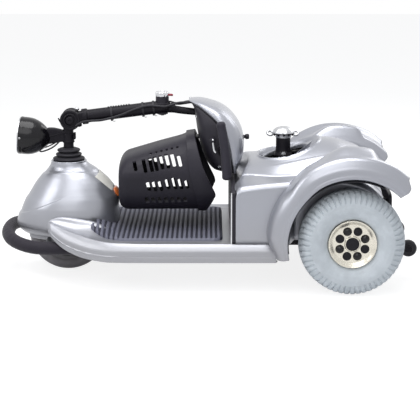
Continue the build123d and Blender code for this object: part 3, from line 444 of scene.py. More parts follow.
paints = {
    "silver": paintSilver(),
    "plastic": plastic("darkPlastic", (28, 26, 34)),
    # dark plastic of the hub caps, also used for flat discs that paint the shade of the rims' open holes
    "darkCap": plastic("darkCapPlastic", (14, 13, 19), 0.6, 900, 0.2, 8),
    "plate": steel("satinPlate", (196, 197, 200), 0.9, 0.34, 0.05, 0.35),
    "basket": plastic("basketPlastic", (29, 27, 36), 0.5, 1100, 0.2),
    "battery": plastic("batteryCase", (46, 46, 50), 0.55),
    "steel": steel("blackSteel", (22, 20, 27), 0.2, 0.44, spots=0.1),
    # the mat's second colour is the painted shade in its grooves
    "mat": matRubber((100, 101, 116), (28, 28, 40), 0.0121),
    "boot": rubber("bootRubber", (36, 35, 41), 0.6, 0.2),
    "foam": foam("bumperFoam", (32, 29, 37)),
    "gripFoam": foam("gripFoam", (40, 38, 47)),
    "chrome": steel("chrome", (214, 215, 218), 1.0, 0.1, spots=0.2),
    "alloy": steel("castAlloy", (150, 151, 155), 0.85, 0.42, 0.2),
    "wheel": steel("wheelAlloy", (226, 221, 208), 0.75, 0.24, 0.03, 0.1),
    "gloss": glossBlack(),
    "glass": lampGlass(),
    # the front tyre is a darker grey than the rear ones: painted shade from the cowl above it
    "frontTyre": rubber("frontTyreRubber", (134, 131, 134), 0.7),
    "greyTyre": rubber("greyTyre", (195, 202, 208), 0.62, 0.3),
    "smallWheel": rubber("smallWheel", (40, 39, 44), 0.55, 0.25),
    "sheath": rubber("cableSheath", (34, 33, 39), 0.5, 0.2),
    "amber": reflectorAmber(),
    "sticker": blankSticker(),
    "redLever": plastic("redLever", (120, 28, 44), 0.4, 900, 0.1),
}
print("finishes:", len(paints))

nodesOf = {
    "silver": "deck front_cowl rear_shroud fender_left fender_right head_cover",
    "steel": "frame seat_post tip_arms fork knuckle_base headlight_bracket tiller_tube handlebar basket_hook",
    "plastic": "front_panel tail_panel adjuster_knob head_panel speed_knob",
    "darkCap": "hub_cap_left hub_cap_right", "wheel": "rear_rim_left rear_rim_right",
    "greyTyre": "rear_tyre_left rear_tyre_right", "smallWheel": "tip_wheel_left tip_wheel_right",
    "alloy": "transaxle front_rim", "frontTyre": "front_tyre", "mat": "deck_mat", "boot": "bellows",
    "foam": "bumper", "gripFoam": "grips", "plate": "seat_plate", "battery": "battery",
    "gloss": "headlight_shell", "glass": "headlight_lens", "chrome": "levers", "sheath": "tiller_cable",
    "basket": "basket",
}
for finish, names in nodesOf.items():
    for node in names.split():
        nodes[node].data.materials.clear()
        nodes[node].data.materials.append(paints[finish])

# Camera, light and floor

view = {"place": (-0.0075, 3.396, 0.908), "tilt": 77.5, "lens": 115.0}
scene = bpy.context.scene


def placed(name, data, place=(0, 0, 0), turn=(0, 0, 0)):
    made = bpy.data.objects.new(name, data)
    made.location, made.rotation_euler = place, turn
    scene.collection.objects.link(made)
    return made


lens = bpy.data.cameras.new("camera")
lens.lens, lens.sensor_width, lens.clip_end = view["lens"], 36, 40
scene.camera = placed("camera", lens, view["place"], (math.radians(view["tilt"]), 0, math.pi))
scene.view_settings.view_transform = "Standard"

light = {
    "top": {"place": (0.1, 0.3, 2.4), "aim": (0, 0, 0.2), "size": 1.8, "power": 40},
    "front": {"place": (0.3, 2.3, 2.1), "aim": (0, 0, 0.2), "size": 2.0, "power": 20},
    "side": {"place": (2.1, 1.0, 1.7), "aim": (0, 0, 0.2), "size": 1.2, "power": 14},
    "back": {"place": (-1.6, -1.8, 1.6), "aim": (0, 0, 0.2), "size": 1.4, "power": 12},
}
for name, spec in light.items():
    lamp = bpy.data.lights.new(name, "AREA")
    lamp.shape, lamp.size, lamp.energy = "DISK", spec["size"], spec["power"]
    ray = np.subtract(spec["place"], spec["aim"])
    placed(name, lamp, spec["place"], (math.acos(ray[2] / np.linalg.norm(ray)), 0,
                                       math.atan2(ray[1], ray[0]) + math.pi / 2))

# seen directly, mirrored or through glass, the world is white; as light it is soft and bluish
studio = {"light": (0.93, 0.96, 1.0, 1), "strength": 0.34, "floor": (0.86, 0.86, 0.87, 1), "glow": 1.35,
          "glowShare": 0.62}
scene.world = bpy.data.worlds.new("studio")
scene.world.use_nodes = True
sky = scene.world.node_tree
rays, mixed = sky.nodes.new("ShaderNodeLightPath"), sky.nodes.new("ShaderNodeMixShader")
plain, seen = sky.nodes["Background"], sky.nodes.new("ShaderNodeBackground")
plain.inputs["Color"].default_value = studio["light"]
plain.inputs["Strength"].default_value = studio["strength"]
seen.inputs["Color"].default_value = (1, 1, 1, 1)
factor = rays.outputs["Is Camera Ray"]
for kind in ("Is Glossy Ray", "Is Transmission Ray"):
    either = sky.nodes.new("ShaderNodeMath")
    either.operation = "MAXIMUM"
    sky.links.new(factor, either.inputs[0])
    sky.links.new(rays.outputs[kind], either.inputs[1])
    factor = either.outputs[0]
for socket, source in enumerate((factor, plain.outputs[0], seen.outputs[0])):
    sky.links.new(source, mixed.inputs[socket])
sky.links.new(mixed.outputs[0], sky.nodes["World Output"].inputs[0])

floorMesh = bpy.data.meshes.new("floor")
floorMesh.from_pydata([(-9, -9, 0), (9, -9, 0), (9, 9, 0), (-9, 9, 0)], [], [(0, 1, 2, 3)])
ground = Finish("studioFloor", Base_Color=studio["floor"], Roughness=0.9, Specular_IOR_Level=0.0)
rays = ground.tree.nodes.new("ShaderNodeLightPath")
direct, glossy, refracted = [Signal(ground, rays.outputs["Is %s Ray" % kind])
                             for kind in ("Camera", "Glossy", "Transmission")]
glow = ground.node("ShaderNodeEmission", None, {"Color": (1, 1, 1, 1), "Strength": studio["glow"]})
both = ground.node("ShaderNodeMixShader", None, {
    0: (direct + glossy + refracted).clamped() * studio["glowShare"],
    1: Signal(ground, ground.shader.outputs[0]), 2: glow})
ground.tree.links.new(both.socket, ground.tree.nodes["Material Output"].inputs[0])
floorMesh.materials.append(ground.material)
placed("floor", floorMesh)
print("camera, light and floor set")

# Places that several pieces share: rear axle (x, z), front hub, steering axis, seat post

rearAxle, frontHub, steerX, seatX = (-350, 130), (361, 0, 100), 355, -195

# Rear body: crowned plateau with an oval well, bright bevel, ledge and upright side panels

bodyShape = {
    "front": -69.8, "back": -432.0, "low": 121.0, "notch": 462.0, "edgeY": 108, "ledgeY": 148,
    # heights along x: middle, plateau edge, inner line of the ledge, top of the side panel
    "crown": [(-69, 298), (-101, 303), (-140, 314), (-165, 325), (-200, 335), (-237, 341), (-285, 345),
              (-320, 342), (-353, 333), (-379, 324), (-397, 311), (-413, 292), (-424, 270), (-432, 244)],
    "edge": [(-69, 291), (-100, 291), (-134, 292.5), (-196, 303), (-254, 314), (-300, 321), (-330, 320),
             (-360, 312), (-390, 298), (-413, 278), (-432, 240)],
    "ledge": [(-69, 277), (-113, 276), (-162, 273.5), (-226, 277), (-300, 284), (-360, 276), (-400, 260),
              (-432, 232)],
    "panel": [(-69, 258), (-89, 261), (-130, 267), (-177, 271.5), (-208, 274), (-300, 276), (-360, 268),
              (-400, 252), (-432, 226)],
    # centre and radii of the post's hole; the same and the depth of the well, whose border is raised
    "hole": (-200, 14, 62, 62), "well": (-184, 8, 88, 84, 16), "border": 4.0, "axleHole": 26,
}


def lineAt(points, x):
    # smooth curve through (x, value) pairs, any order
    p = through(sorted(points), 400)
    return np.interp(x, p[:, 0], p[:, 1])


def bodyTop(x, y):
    # crown less a power of the side distance; the well has a raised border and a sloping shelf
    crown, edge = lineAt(bodyShape["crown"], x), lineAt(bodyShape["edge"], x)
    top = crown - (crown - edge) * np.clip(np.abs(y) / bodyShape["edgeY"], 0, 1.1) ** 2.2
    cx, cy, rx, ry, deep = bodyShape["well"]
    reach = np.sqrt(((x - cx) / rx) ** 2 + ((y - cy) / ry) ** 2)
    return top + bodyShape["border"] * hump(reach, 1.0, 0.03) - deep * (1 - ease(0.87, 0.975, reach)) \
        - 5 * (1 - ease(0.70, 0.87, reach))


def bodyStation(x):
    # one cross-section: crowned top, bevel, ledge and upright side, mirrored to both sides
    half = 186.5 + 45 * float(ease(-216, -200, x))
    ledgeZ, panelZ = [float(lineAt(bodyShape[k], x)) for k in ("ledge", "panel")]
    nose = 1 - math.sqrt(max(1 - ((x + 88) / 18.4) ** 2, 0)) if x > -88 else 0.0
    edgeY, ledgeY, count = bodyShape["edgeY"], min(bodyShape["ledgeY"], half - 30), 44
    y = np.linspace(0, edgeY, count)
    top = np.stack([y, bodyTop(np.full(count, x), y) - 5 * nose], -1)
    edgeZ, ledgeZ, panelZ = top[-1, 1], ledgeZ - 6 * nose, panelZ - 14 * nose
    bevel = softened([top[-1], (edgeY + 4, edgeZ - 1), (ledgeY - 5, ledgeZ + 3.5), (ledgeY, ledgeZ + 1)], 3)
    shelf = softened([(ledgeY, ledgeZ + 1), (ledgeY + 1.5, ledgeZ - 1), (half - 9, panelZ + 1),
                      (half, panelZ - 8), (half, panelZ - 20)], [0, 0.8, 7, 7, 0], 7)
    side = np.array([(half, panelZ - 20), (half + 0.4, (panelZ + 100) / 2), (half, bodyShape["low"])])
    line = np.concatenate([top[:-1], evenly(bevel, 16)[:-1], evenly(shelf, 28)[:-1], evenly(side, 10)])
    whole = np.concatenate([line[:0:-1] * [-1, 1], line])
    return xyz(x, whole[:, 0], whole[:, 1])


def bodyGrid():
    front, back, low = bodyShape["front"], bodyShape["back"], bodyShape["low"]
    runs = [(front, -88, 10), (-90, -285, 76), (-288, back, 30)]
    xs = np.concatenate([np.linspace(*run) for run in runs])
    pts = np.array([bodyStation(x) for x in xs])
    # the front edge is hollowed in an arc about the steering axis, above the trim plate
    arc = steerX - np.sqrt(np.maximum(bodyShape["notch"] ** 2 - pts[..., 1] ** 2, 0))
    edge = front + np.minimum(arc - front, 0) * ease(243, 256, pts[..., 2])
    share = (front - pts[..., 0]) / (front - back)
    pts[..., 0] = edge + (back - edge) * share
    # front wall under the edge, and the rounded end at the back
    lip = []
    for t in np.linspace(1, 0, 9)[:-1]:
        row = pts[0].copy()
        over = row[:, 2] > 250
        row[:, 0] += 2.0 * math.sin(math.radians(90 * min(t * 5, 1))) * over
        row[:, 2] -= np.where(over, (row[:, 2] - 246) * t, 0)
        lip.append(row)
    foot = np.maximum(lip[0], [front, -1e6, -1e6])
    tail = []
    for t in (0.4, 1.0):
        x, y, z = pts[-1].T
        tail.append(xyz(x + 2.0 * t, y * (1 - 0.06 * t), low + (z - low) * (1 - 0.1 * t)))
    return np.concatenate([[foot], lip, pts, tail]), False, False


def outsideHole(middle):
    # faces are left out where the post's hole and the axle cut-outs are
    (hx, hy, rx, ry), (ax, az) = bodyShape["hole"], rearAxle
    x, y, z = middle.T
    hole = (((x - hx) / rx) ** 2 + ((y - hy) / ry) ** 2 < 1) & (z > 250)
    return ~(hole | (np.hypot(x - ax, z - az) < bodyShape["axleHole"]) & (np.abs(y) > 150))


def onHole(a, grow=0.0, share=1.0):
    # plan of the post's hole, grown outwards or shrunk by a share
    hx, hy, rx, ry = bodyShape["hole"]
    return hx + (rx + grow) * share * np.cos(a), hy + (ry + grow) * share * np.sin(a)


def holeRing(profile):
    # lip round the hole: (outward, height) profile laid on the well's own surface
    a, out = circle(120)[:, None], np.asarray(profile, float)[None, :, 0]
    x, y = onHole(a, out)
    level = np.where(out < 0, bodyTop(*onHole(a, 1 + 0 * out)), bodyTop(x, y))
    return xyz(x, y, level + np.asarray(profile)[None, :, 1]), True, True


def wellShadeCup():
    # dark cup under the hole, open round the post: a dark sheet that paints the shade inside the hole
    a = circle(96)
    rim = np.minimum(bodyTop(*onHole(a)) - 4, 320)
    cup = [(1.0, rim), (0.99, 296), (0.97, 280), (0.96, 268), (0.94, 262), (0.88, 258.5), (0.7, 257),
           (0.5, 256)]
    rows = [xyz(*onHole(a, 1, share), level) for share, level in cup]
    rows.append(xyz(seatX + 26 * np.cos(a), 26 * np.sin(a), 254))
    return np.array(rows), False, True


makePiece("rearBody", [bodyGrid()], "chassis", "silver", ["rear_shroud"], 30, shell=3.0,
          away=(-250, 0, 120), keep=outsideHole)
holeLip = softened([(5, 0.0), (3.5, 1.8), (1.5, 2.2), (-1.0, 1.8), (-2.2, -1), (-2.6, -9), (-1, -9.5),
                    (0.4, -3), (4.5, -3)], 0.8, 4, True)
makePiece("postHoleRim", [holeRing(holeLip)], "chassis", "silver", [], 40)
makePiece("seatWellShadeCup", [wellShadeCup()], "chassis", "gloss", [], 40, shell=1.5, away=(-200, 10, 330))
print("rear body")

# Fenders: outer flare over the wheel, a bump inside it at the top, and a rolled lip

fenderShape = {"start": -12.8, "end": 133.5, "wall": 3.0, "bump": 19.5, "shoulder": 4.5, "crest": 4.2,
               "foot": 20}


def fenderGrid():
    # section points (offset from the middle, radius) swept round the axle
    lip = [(288.2, 169), (287.4, 168), (288.8, 166.8), (289.6, 162.5), (289.5, 158.4), (287.6, 156.6),
           (284, 156), (281, 157), (280.4, 160)]
    front = [(187, 193), (200, 197), (214, 199), (222, 199.6), (226, 200), (228, 201.5), (230, 204),
             (235, 206), (243, 206.6), (254, 205.4), (264, 202), (273, 196.4), (280, 189), (284.6, 182),
             (287.2, 175)] + lip
    top = [(143, 160), (145, 180), (149, 194), (154, 198), (160, 199), (172, 199), (184, 199), (196, 199),
           (208, 199), (220, 198.6), (232, 199), (243, 202), (254, 207), (263, 208.8), (271, 207),
           (278, 201.5), (283, 194), (286.4, 184), (287.8, 176)] + lip
    (frontY, frontR), (topY, topR) = [evenly(softened(line, 2.5), 96).T for line in (front, top)]
    low, high = fenderShape["start"], fenderShape["end"]
    angle = np.linspace(low, high, 116)[:, None]
    grow = ease(30, 60, angle)
    y, r = frontY + (topY - frontY) * grow, frontR + (topR - frontR) * grow
    # bump: a rounded swelling of the inner half near the top of the arch
    rise = ease(64, 88, angle) * (1 - ease(103, 112, angle))
    across = ease(146, 166, y) * (1 - ease(174, 244, y)) * (topR > 186)
    r = r + fenderShape["shoulder"] * ease(38, 66, angle) * (1 - ease(176, 196, topR)) \
        + fenderShape["bump"] * rise * across + fenderShape["crest"] * ease(52, 84, angle) * ease(190, 204, r)
    # the foot narrows downwards, and the tail's corner is cut obliquely
    share = np.clip((r - 158) / 48, 0, 1.2)
    r = r - fenderShape["foot"] * (1 - ease(low, 6, angle)) * share
    tail = ease(116, high, angle)
    a = np.radians(angle + tail * (2.2 * hump(share, 0.55, 0.35) - 3.6 * ease(0.75, 1.05, share) - 0.8))
    r = r - 2.5 * tail * share
    return xyz(rearAxle[0] + r * np.cos(a), y, rearAxle[1] + r * np.sin(a)), False, False


def fenderReturn():
    # dark inner skin from the lip up under the flare: a dark sheet that paints the shade under the fender
    line = [(281, 155), (276, 158), (268, 166), (240, 172), (205, 174), (190, 172)]
    y, r = evenly(softened(line, 4), 20).T
    a = np.radians(np.linspace(-8, 118, 64))[:, None]
    return xyz(rearAxle[0] + r * np.cos(a), y, rearAxle[1] + r * np.sin(a)), False, False


leftFender, leftUnderShade = fenderGrid(), fenderReturn()
for side, grid, underShade, aside in (("Left", leftFender, leftUnderShade, 150),
                                 ("Right", otherSide(leftFender), otherSide(leftUnderShade), -150)):
    makePiece("fender" + side, [grid], "chassis", "silver", ["fender_" + side.lower()], 32,
              shell=fenderShape["wall"], away=(rearAxle[0], aside, rearAxle[1]))
    # dark sheet under the flare: painted shade
    makePiece("wheelArch" + side, [underShade], "chassis", "sheath", [], 40, shell=1.2,
              away=(rearAxle[0], aside, 400))
print("fenders")

# Front cowl

cowlShape = {
    # height: front, back, half-width, squareness
    108: (478, 229, 106, 2.0), 114: (485, 227.5, 108.5, 2.0), 125: (490.5, 227, 110, 2.0),
    136: (488.6, 227, 110, 2.05), 147: (485, 227, 109, 2.1), 160: (480, 227, 107, 2.15),
    175: (474, 227, 104, 2.15), 190: (467, 227, 99.5, 2.1), 200: (459.5, 228, 96, 2.1),
    211: (452.5, 233.5, 91.5, 2.05), 226: (444, 244, 84, 2.0), 238: (435.5, 253.5, 76.5, 2.0),
    250: (426, 265.5, 69, 2.0), 262: (415.5, 278, 60.5, 2.0), 266: (412, 282, 56.5, 2.0),
    271: (408.5, 290, 52.5, 2.0), 281: (402, 306.5, 47.0, 2.0), 286.5: (398.5, 312, 44.8, 2.0),
    288: (396.5, 315, 42.4, 2.0),
}
cowlHeights = np.array(sorted(cowlShape), float)
cowlRows = np.array([cowlShape[h] for h in cowlHeights], float)
cowlFoot, cowlTop = 108, 288


def onCowl(angle, height, out=0.0):
    # |x|^n + |y|^n = 1 in plan; out pushes along the radius
    front, back, half, square = [np.interp(height, cowlHeights, column) for column in cowlRows.T]
    x = (front + back) / 2 + ((front - back) / 2 + out) * bulge(np.cos(angle), 2 / square)
    return xyz(x, (half + out) * bulge(np.sin(angle), 2 / square), height)


def cowlGrid():
    # rows follow two lines: a crease that rises to the back, and the shoulder under the neck
    a = circle(144)
    crease = np.full(144, 175.0)
    for step in range(60):
        goal = np.clip(203.5 - 0.438 * (onCowl(a, crease)[:, 0] - 367), 150, 209)
        crease = crease * 0.6 + goal * 0.4
    shoulder = 253.5 + 12 * np.abs(np.sin(a)) ** 1.5
    strong = ease(346, 392, onCowl(a, crease)[:, 0])
    rows = []
    for s in np.linspace(0, 1, 30):
        z = cowlFoot + (crease - 0.8 - cowlFoot) * s
        rows.append((z, 2.8 * strong * (1 - 0.7 * ease(0, 44, crease - z)) * ease(cowlFoot, 118, z)))
    rows += [(crease + step, out * strong)
             for step, out in ((0.0, 2.5), (0.7, 1.7), (1.5, 0.8), (2.2, 0.25), (3.2, 0.0))]
    rows += [(crease + 3.2 + (shoulder - crease - 4.0) * s, 0.8 * math.sin(math.pi * s))
             for s in np.linspace(0.04, 1, 28)]
    rows += [(shoulder + step, out) for step, out in ((0.0, -0.3), (0.8, -1.3), (1.6, -2.1), (2.6, -2.4))]
    for s in np.linspace(0.08, 1, 16):
        z = shoulder + 2.6 + (cowlTop - shoulder - 2.6) * s
        rows.append((z, -2.4 * (1 - ease(274, 285, z))))
    return np.array([onCowl(a, z, out) for z, out in rows]), False, True


def cowlApron(sign):
    # flap that hangs below the edge beside the wheel
    turn = np.linspace(36, 68, 30)[None, :]
    s = np.linspace(0, 1, 12)[:, None]
    low = 98.5 + 10 * (1 - np.clip((turn - 36) / 1.6, 0, 1)) + 9 * ease(64, 68, turn)
    z = 120 + (low - 120) * s
    pts = onCowl(np.radians(turn), np.maximum(z, 112), -4.2 - 1.2 * s)
    pts[..., 2] = z
    return pts * [1, sign, 1], False, False


makePiece("frontCowl", [cowlGrid(), cowlApron(1), cowlApron(-1)], "chassis", "silver", ["front_cowl"], 40,
          shell=3.0, away=(355, 0, 190))
collarLip = softened([(45.4, 284), (45.4, 287.5), (43.6, 288.6), (41, 287.6), (40, 282), (42.2, 281),
                      (44, 283)], 0.8, 4, True)
makePiece("cowlCollar", [hoop(collarLip, (steerX, 0, 0), upward, 96)], "chassis", "silver")


def patchOnCowl(corners, thick, lift, soft, rounding):
    # pillow between four (angle, height) corners; its thickness falls to nothing at the border
    u, v = np.linspace(-1, 1, 25)[:, None], np.linspace(-1, 1, 25)[None, :]
    s = ((u * np.sqrt(1 - v ** 2 / rounding) + 1) / 2)[..., None]
    t = ((v * np.sqrt(1 - u ** 2 / rounding) + 1) / 2)[..., None]
    p = np.asarray(corners, float)
    spot = ((1 - s) * (1 - t)) * p[0] + (s * (1 - t)) * p[1] + (s * t) * p[2] + ((1 - s) * t) * p[3]
    edge = np.maximum(np.abs(u), np.abs(v))
    outer = onCowl(np.radians(spot[..., 0]), spot[..., 1], lift + thick * (1 - edge ** soft))
    inner = onCowl(np.radians(spot[..., 0]), spot[..., 1], 0.3)
    borders = [np.stack([outer[at], inner[at]], 0) for at in (0, -1, np.s_[:, 0], np.s_[:, -1])]
    return [(face, False, False) for face in [outer, inner[:, ::-1]] + borders]


makePiece("cowlReflector", patchOnCowl([(163, 196), (197, 196), (197, 219), (163, 219)], 3.2, 2.4, 8, 3.2),
          "chassis", "amber")
stickerCorners = [(157, 213.6), (181, 227.6), (181, 263.6), (138.5, 252.3)]
makePiece("cowlSticker", patchOnCowl(stickerCorners, 0.3, 1.5, 10, 14), "chassis", "sticker")
print("front cowl")

# Bellows: three folds (radius, height of the lower edge)

bootShape = {"folds": ((41, 287.6), (33.6, 298.4), (29.8, 309.2)), "deep": 7}
folds = []
for r, z in bootShape["folds"]:
    valley = r - bootShape["deep"]
    folds += [(valley, z), (r - 1.4, z + 1.8), (r, z + 4.4), (r - 1.4, z + 7.0), (valley, z + 9.0)]
bootLine = softened([(36, 284)] + folds + [(17.5, 320), (14.2, 320.5), (14.2, 284)], 1.2, 4, True)
makePiece("bellowsBoot", [hoop(bootLine, (steerX, 0, 0), upward, 72)], "chassis", "boot", ["bellows"], 50)
print("bellows")

# Deck pan: raised lip beside the cowl, dished lobe, broad rolled rim and a skirt with a fine groove

deckShape = {
    # station x: inner lip (y, z), rim crest (y, z), skirt shoulder (y, z), skirt foot (y, z)
    -168: (188, 118.4, 228, 121.5, 243, 106.5, 245, 77),
    **dict.fromkeys((-150, -60, 60), (188, 118.4, 228, 121.8, 243.5, 106, 245.5, 77)),
    150: (188, 118.4, 228, 122, 243, 106, 245, 77), 205: (172, 119, 225, 122.5, 241, 106, 243.5, 77),
    240: (122, 128, 218, 123, 236.5, 105.5, 240, 77), 262: (112, 142, 210, 124.5, 229, 105.8, 232.5, 77.6),
    285: (112, 151.5, 198, 127, 218, 107, 222, 79), 306: (113, 156, 187, 130.5, 207, 109.5, 211, 81.5),
    323: (114, 159, 177, 134, 197, 112.5, 200.5, 85), 340: (114.5, 161.5, 167, 137.5, 186, 116, 189.5, 90),
    358: (115, 163.2, 156, 142, 173, 121, 176.5, 97.5), 372: (116, 163, 147, 146.5, 161.5, 127, 165, 105.5),
    383: (117.5, 161, 140, 150, 152, 133, 155.5, 114), 391: (120, 157.5, 134.5, 152.5, 145, 138.5, 148, 124),
    396.5: (123, 152.6, 130, 151.5, 136, 144, 138, 136),
}
deckX = np.array(sorted(deckShape), float)
deckTable = np.array([deckShape[x] for x in deckX], float)


def deckStation(x, yi, zi, yc, zc, ys, zs, yf, zf):
    # inner wall, rounded lip, dished tray, rounded rim, skirt with a groove, curled foot
    raised = float(ease(205, 275, x))
    span = yc - yi
    close = min(span / 60, 1.0)
    lip = 12.0 * raised * close + 0.6
    inner = [(yi - 2.5 * raised, zi - 4 - (zs - zf) * 0.55 * raised), (yi - 1.0, zi - 1.5),
             (yi + 1.5 * raised, zi), (yi + lip * 0.55, zi - 0.4 * raised),
             (yi + lip, zi - 4.5 * raised * close)]
    floor = []
    for s in np.linspace(0.08, 1, 12):
        deep = 9.0 * raised * close + 3.2 * (1 - raised)
        dish = deep * math.sin(math.pi * min(0.12 + s * 0.86, 1)) ** 0.7
        z = zi + (zc - zi) * (lip + (span - lip) * s) / span - dish
        floor.append((yi + lip + (span - lip - 9 * close) * s, max(z, 118.2)))
    rim = [(yc - 3.0 * close, zc - 1.2), (yc + 1.0, zc),
           (yc + (ys - yc) * 0.52, zc - (zc - zs) * 0.36), (ys, zs)]
    deep, cut = zs - zf, 1.3 * (1 - float(ease(205, 232, x)))
    face = [(ys + (yf - ys) * 0.5, zs - deep * 0.44), (yf - 0.2 - cut, zs - deep * 0.465),
            (yf - 0.2 - cut, zs - deep * 0.52), (ys + (yf - ys) * 0.6, zs - deep * 0.56)]
    foot = [(yf, zf), (yf - 5, zf - 0.2), (yf - 5, zf + 3)]
    soft = [0, 1.5, 1.5, 3, 2] + [1.5] * 12 + [2, 3, 6, 5] + [0.5] * 4 + [0.8, 1, 0]
    y, z = evenly(softened(inner + floor + rim + face + foot, soft, 4), 96).T
    return xyz(x, y, z)


def deckGrid():
    fine = through(np.column_stack([deckX, deckTable]), 1200).T
    xs = np.concatenate([np.linspace(-168, 190, 22), np.linspace(194, 396.5, 68)])
    pts = np.array([deckStation(x, *[np.interp(x, fine[0], column) for column in fine[1:]]) for x in xs])
    # the tip and the rear end close in shrinking rows
    first, last = pts[0], pts[-1]
    middle = last.mean(0)
    ends = [np.column_stack([last[:, 0] + push, (middle + (last - middle) * t)[:, 1:]])
            for t, push in ((0.85, 1.0), (0.55, 1.7), (0.0, 1.9))]
    starts = [xyz(first[:, 0] - push, np.minimum(first[:, 1], 245.5 * t), 98 + (first[:, 2] - 98) * t)
              for t, push in ((0.95, 1.2), (0.985, 0.9))]
    return np.concatenate([starts, pts, ends]), False, False


def deckFloor():
    # flat floor between the two sides, under the mat and behind it
    x = np.linspace(-168, 232, 60)[:, None]
    y = np.linspace(-191, 191, 40)[None, :]
    return xyz(x, y * (191 - np.where(x > 200, (x - 200) * 1.9, 0)) / 191, 117.9), False, False


deckSide = deckGrid()
makePiece("deckPan", [deckSide, otherSide(deckSide), deckFloor()], "chassis", "silver", ["deck"], 36,
          shell=2.6, away=(100, 0, 60))
print("deck pan")

# Floor mat: cross ribs inside a smooth border

matShape = {"rear": -39.0, "front": 290.0, "half": 187.5, "pitch": 12.1, "rib": 4.6}


def trayLevel(x, y):
    # height of the tray under a point, from the deck stations
    yi, zi, yc, zc = [np.interp(x, deckX, deckTable[:, c]) for c in range(4)]
    raised = ease(205, 275, x)
    s = np.clip((np.abs(y) - yi) / np.maximum(yc - yi, 1), 0, 1)
    dish = (9.0 * raised + 3.2 * (1 - raised)) * np.sin(np.pi * np.clip(0.12 + s * 0.86, 0, 1)) ** 0.7
    return np.where(np.abs(y) < yi, np.minimum(zi, 118 + 30 * raised),
                    np.maximum(zi + (zc - zi) * s - dish, 118.0))


def matGrid():
    # plan outline filled by rows; each rib is a rounded ridge between narrow deep grooves
    back, tip = matShape["rear"], matShape["front"]
    x = np.concatenate([np.linspace(back, 232, 360), np.linspace(232.7, tip, 80)])
    outer = matShape["half"] - 14 * ease(200, 245, x) - 24 * ease(236, tip, x)
    outer = outer - 26 * (1 - np.sqrt(1 - (1 - np.clip((x - back) / 26, 0, 1)) ** 2))
    # beside the cowl the inner edge follows an ellipse
    besideCowl = 112 * np.sqrt(np.clip(1 - ((x - 359) / 133.0) ** 2, 0, 1))
    inner = np.where(x > 226, besideCowl + 4 + 14 * ease(250, tip, x), 0)
    pull = np.maximum(np.sqrt(np.clip(1 - np.clip((x - 262) / (tip - 262), 0, 1) ** 2, 0, 1)), 0.02)
    centre = (outer + inner) / 2
    outer, inner = [np.where(x > 262, centre + (line - centre) * pull, line) for line in (outer, inner)]
    s = np.linspace(0, 1, 40)[None, :]
    rows = []
    for side in (1, -1):
        width = (outer - inner)[:, None]
        y = side * (inner[:, None] + width * s)
        xx = x[:, None] + 0 * s
        edge = np.minimum((1 - s) * width, xx - back)
        edge = np.where(xx > 226, np.minimum(edge, s * width + 2), edge)
        rib = ease(-0.6, 0.3, np.cos(2 * np.pi * ((xx - back - 10) / matShape["pitch"])))
        border = ease(4, 7, edge)
        base = trayLevel(xx, y)
        ridge = rib * border + 0.75 * (1 - border) * ease(0.5, 2.5, edge)
        top = base + 3.4 * ease(-0.5, 1.6, edge) + matShape["rib"] * ridge
        top = top - 2.0 * np.clip(1 - np.abs(np.abs(y) - 101) / 3.0, 0, 1) * border * rib
        face = xyz(xx, y, top)
        skirt = np.stack([xyz(x, side * outer, top[:, -1]),
                          xyz(x, side * (outer + 0.4), base[:, -1] - 1.0)], 1)
        end = np.stack([face[0], face[0] - [0.3, 0, 5]], 0)
        rows += [(part, False, False) for part in (face, skirt, end)]
    return rows


makePiece("floorMat", matGrid(), "chassis", "mat", ["deck_mat"], 60, away=(100, 0, -400))
print("floor mat")

# Bumper: foam tube with two cuffs at each end

bumperShape = {"radius": 16.5, "route": [(300, 144, 90), (345, 147, 90), (395, 150, 90.5), (432, 146, 92),
                                         (466, 130, 96.5), (492, 102, 102), (506, 66, 106.5),
                                         (511.5, 28, 108.5), (512, 0, 109)]}
half = through(bumperShape["route"], 60)
bumperLine = evenly(np.concatenate([half, (half * [1, -1, 1])[-2::-1]]), 150)
swell = bumperShape["radius"] + 0.25 * np.sin(np.arange(150) * 1.7) * np.sin(np.arange(150) * 0.31)
makePiece("bumperFoam", [swept(bumperLine, swell, 32)], "chassis", "foam", ["bumper"], 60)
cuff = softened([(15.2, -3), (17.4, -2), (17.4, 2), (15.2, 3)], 0.8, 3, True)
cuffs = [hoop(cuff, (x, sign * 144.4, 90), (1, 0.03 * sign, 0), 32) for sign in (1, -1) for x in (302, 309)]
makePiece("bumperCuffs", cuffs, "chassis", "sheath")
print("bumper")

# Tyres

tyreShape = {
    "rear": {"radius": 129.6, "half": 42.0, "bead": 58.4, "lugs": 54, "groove": 4.2, "columns": 7},
    "front": {"radius": 99.7, "half": 24.8, "bead": 62.2, "lugs": 0, "groove": 0.0, "columns": 132},
}


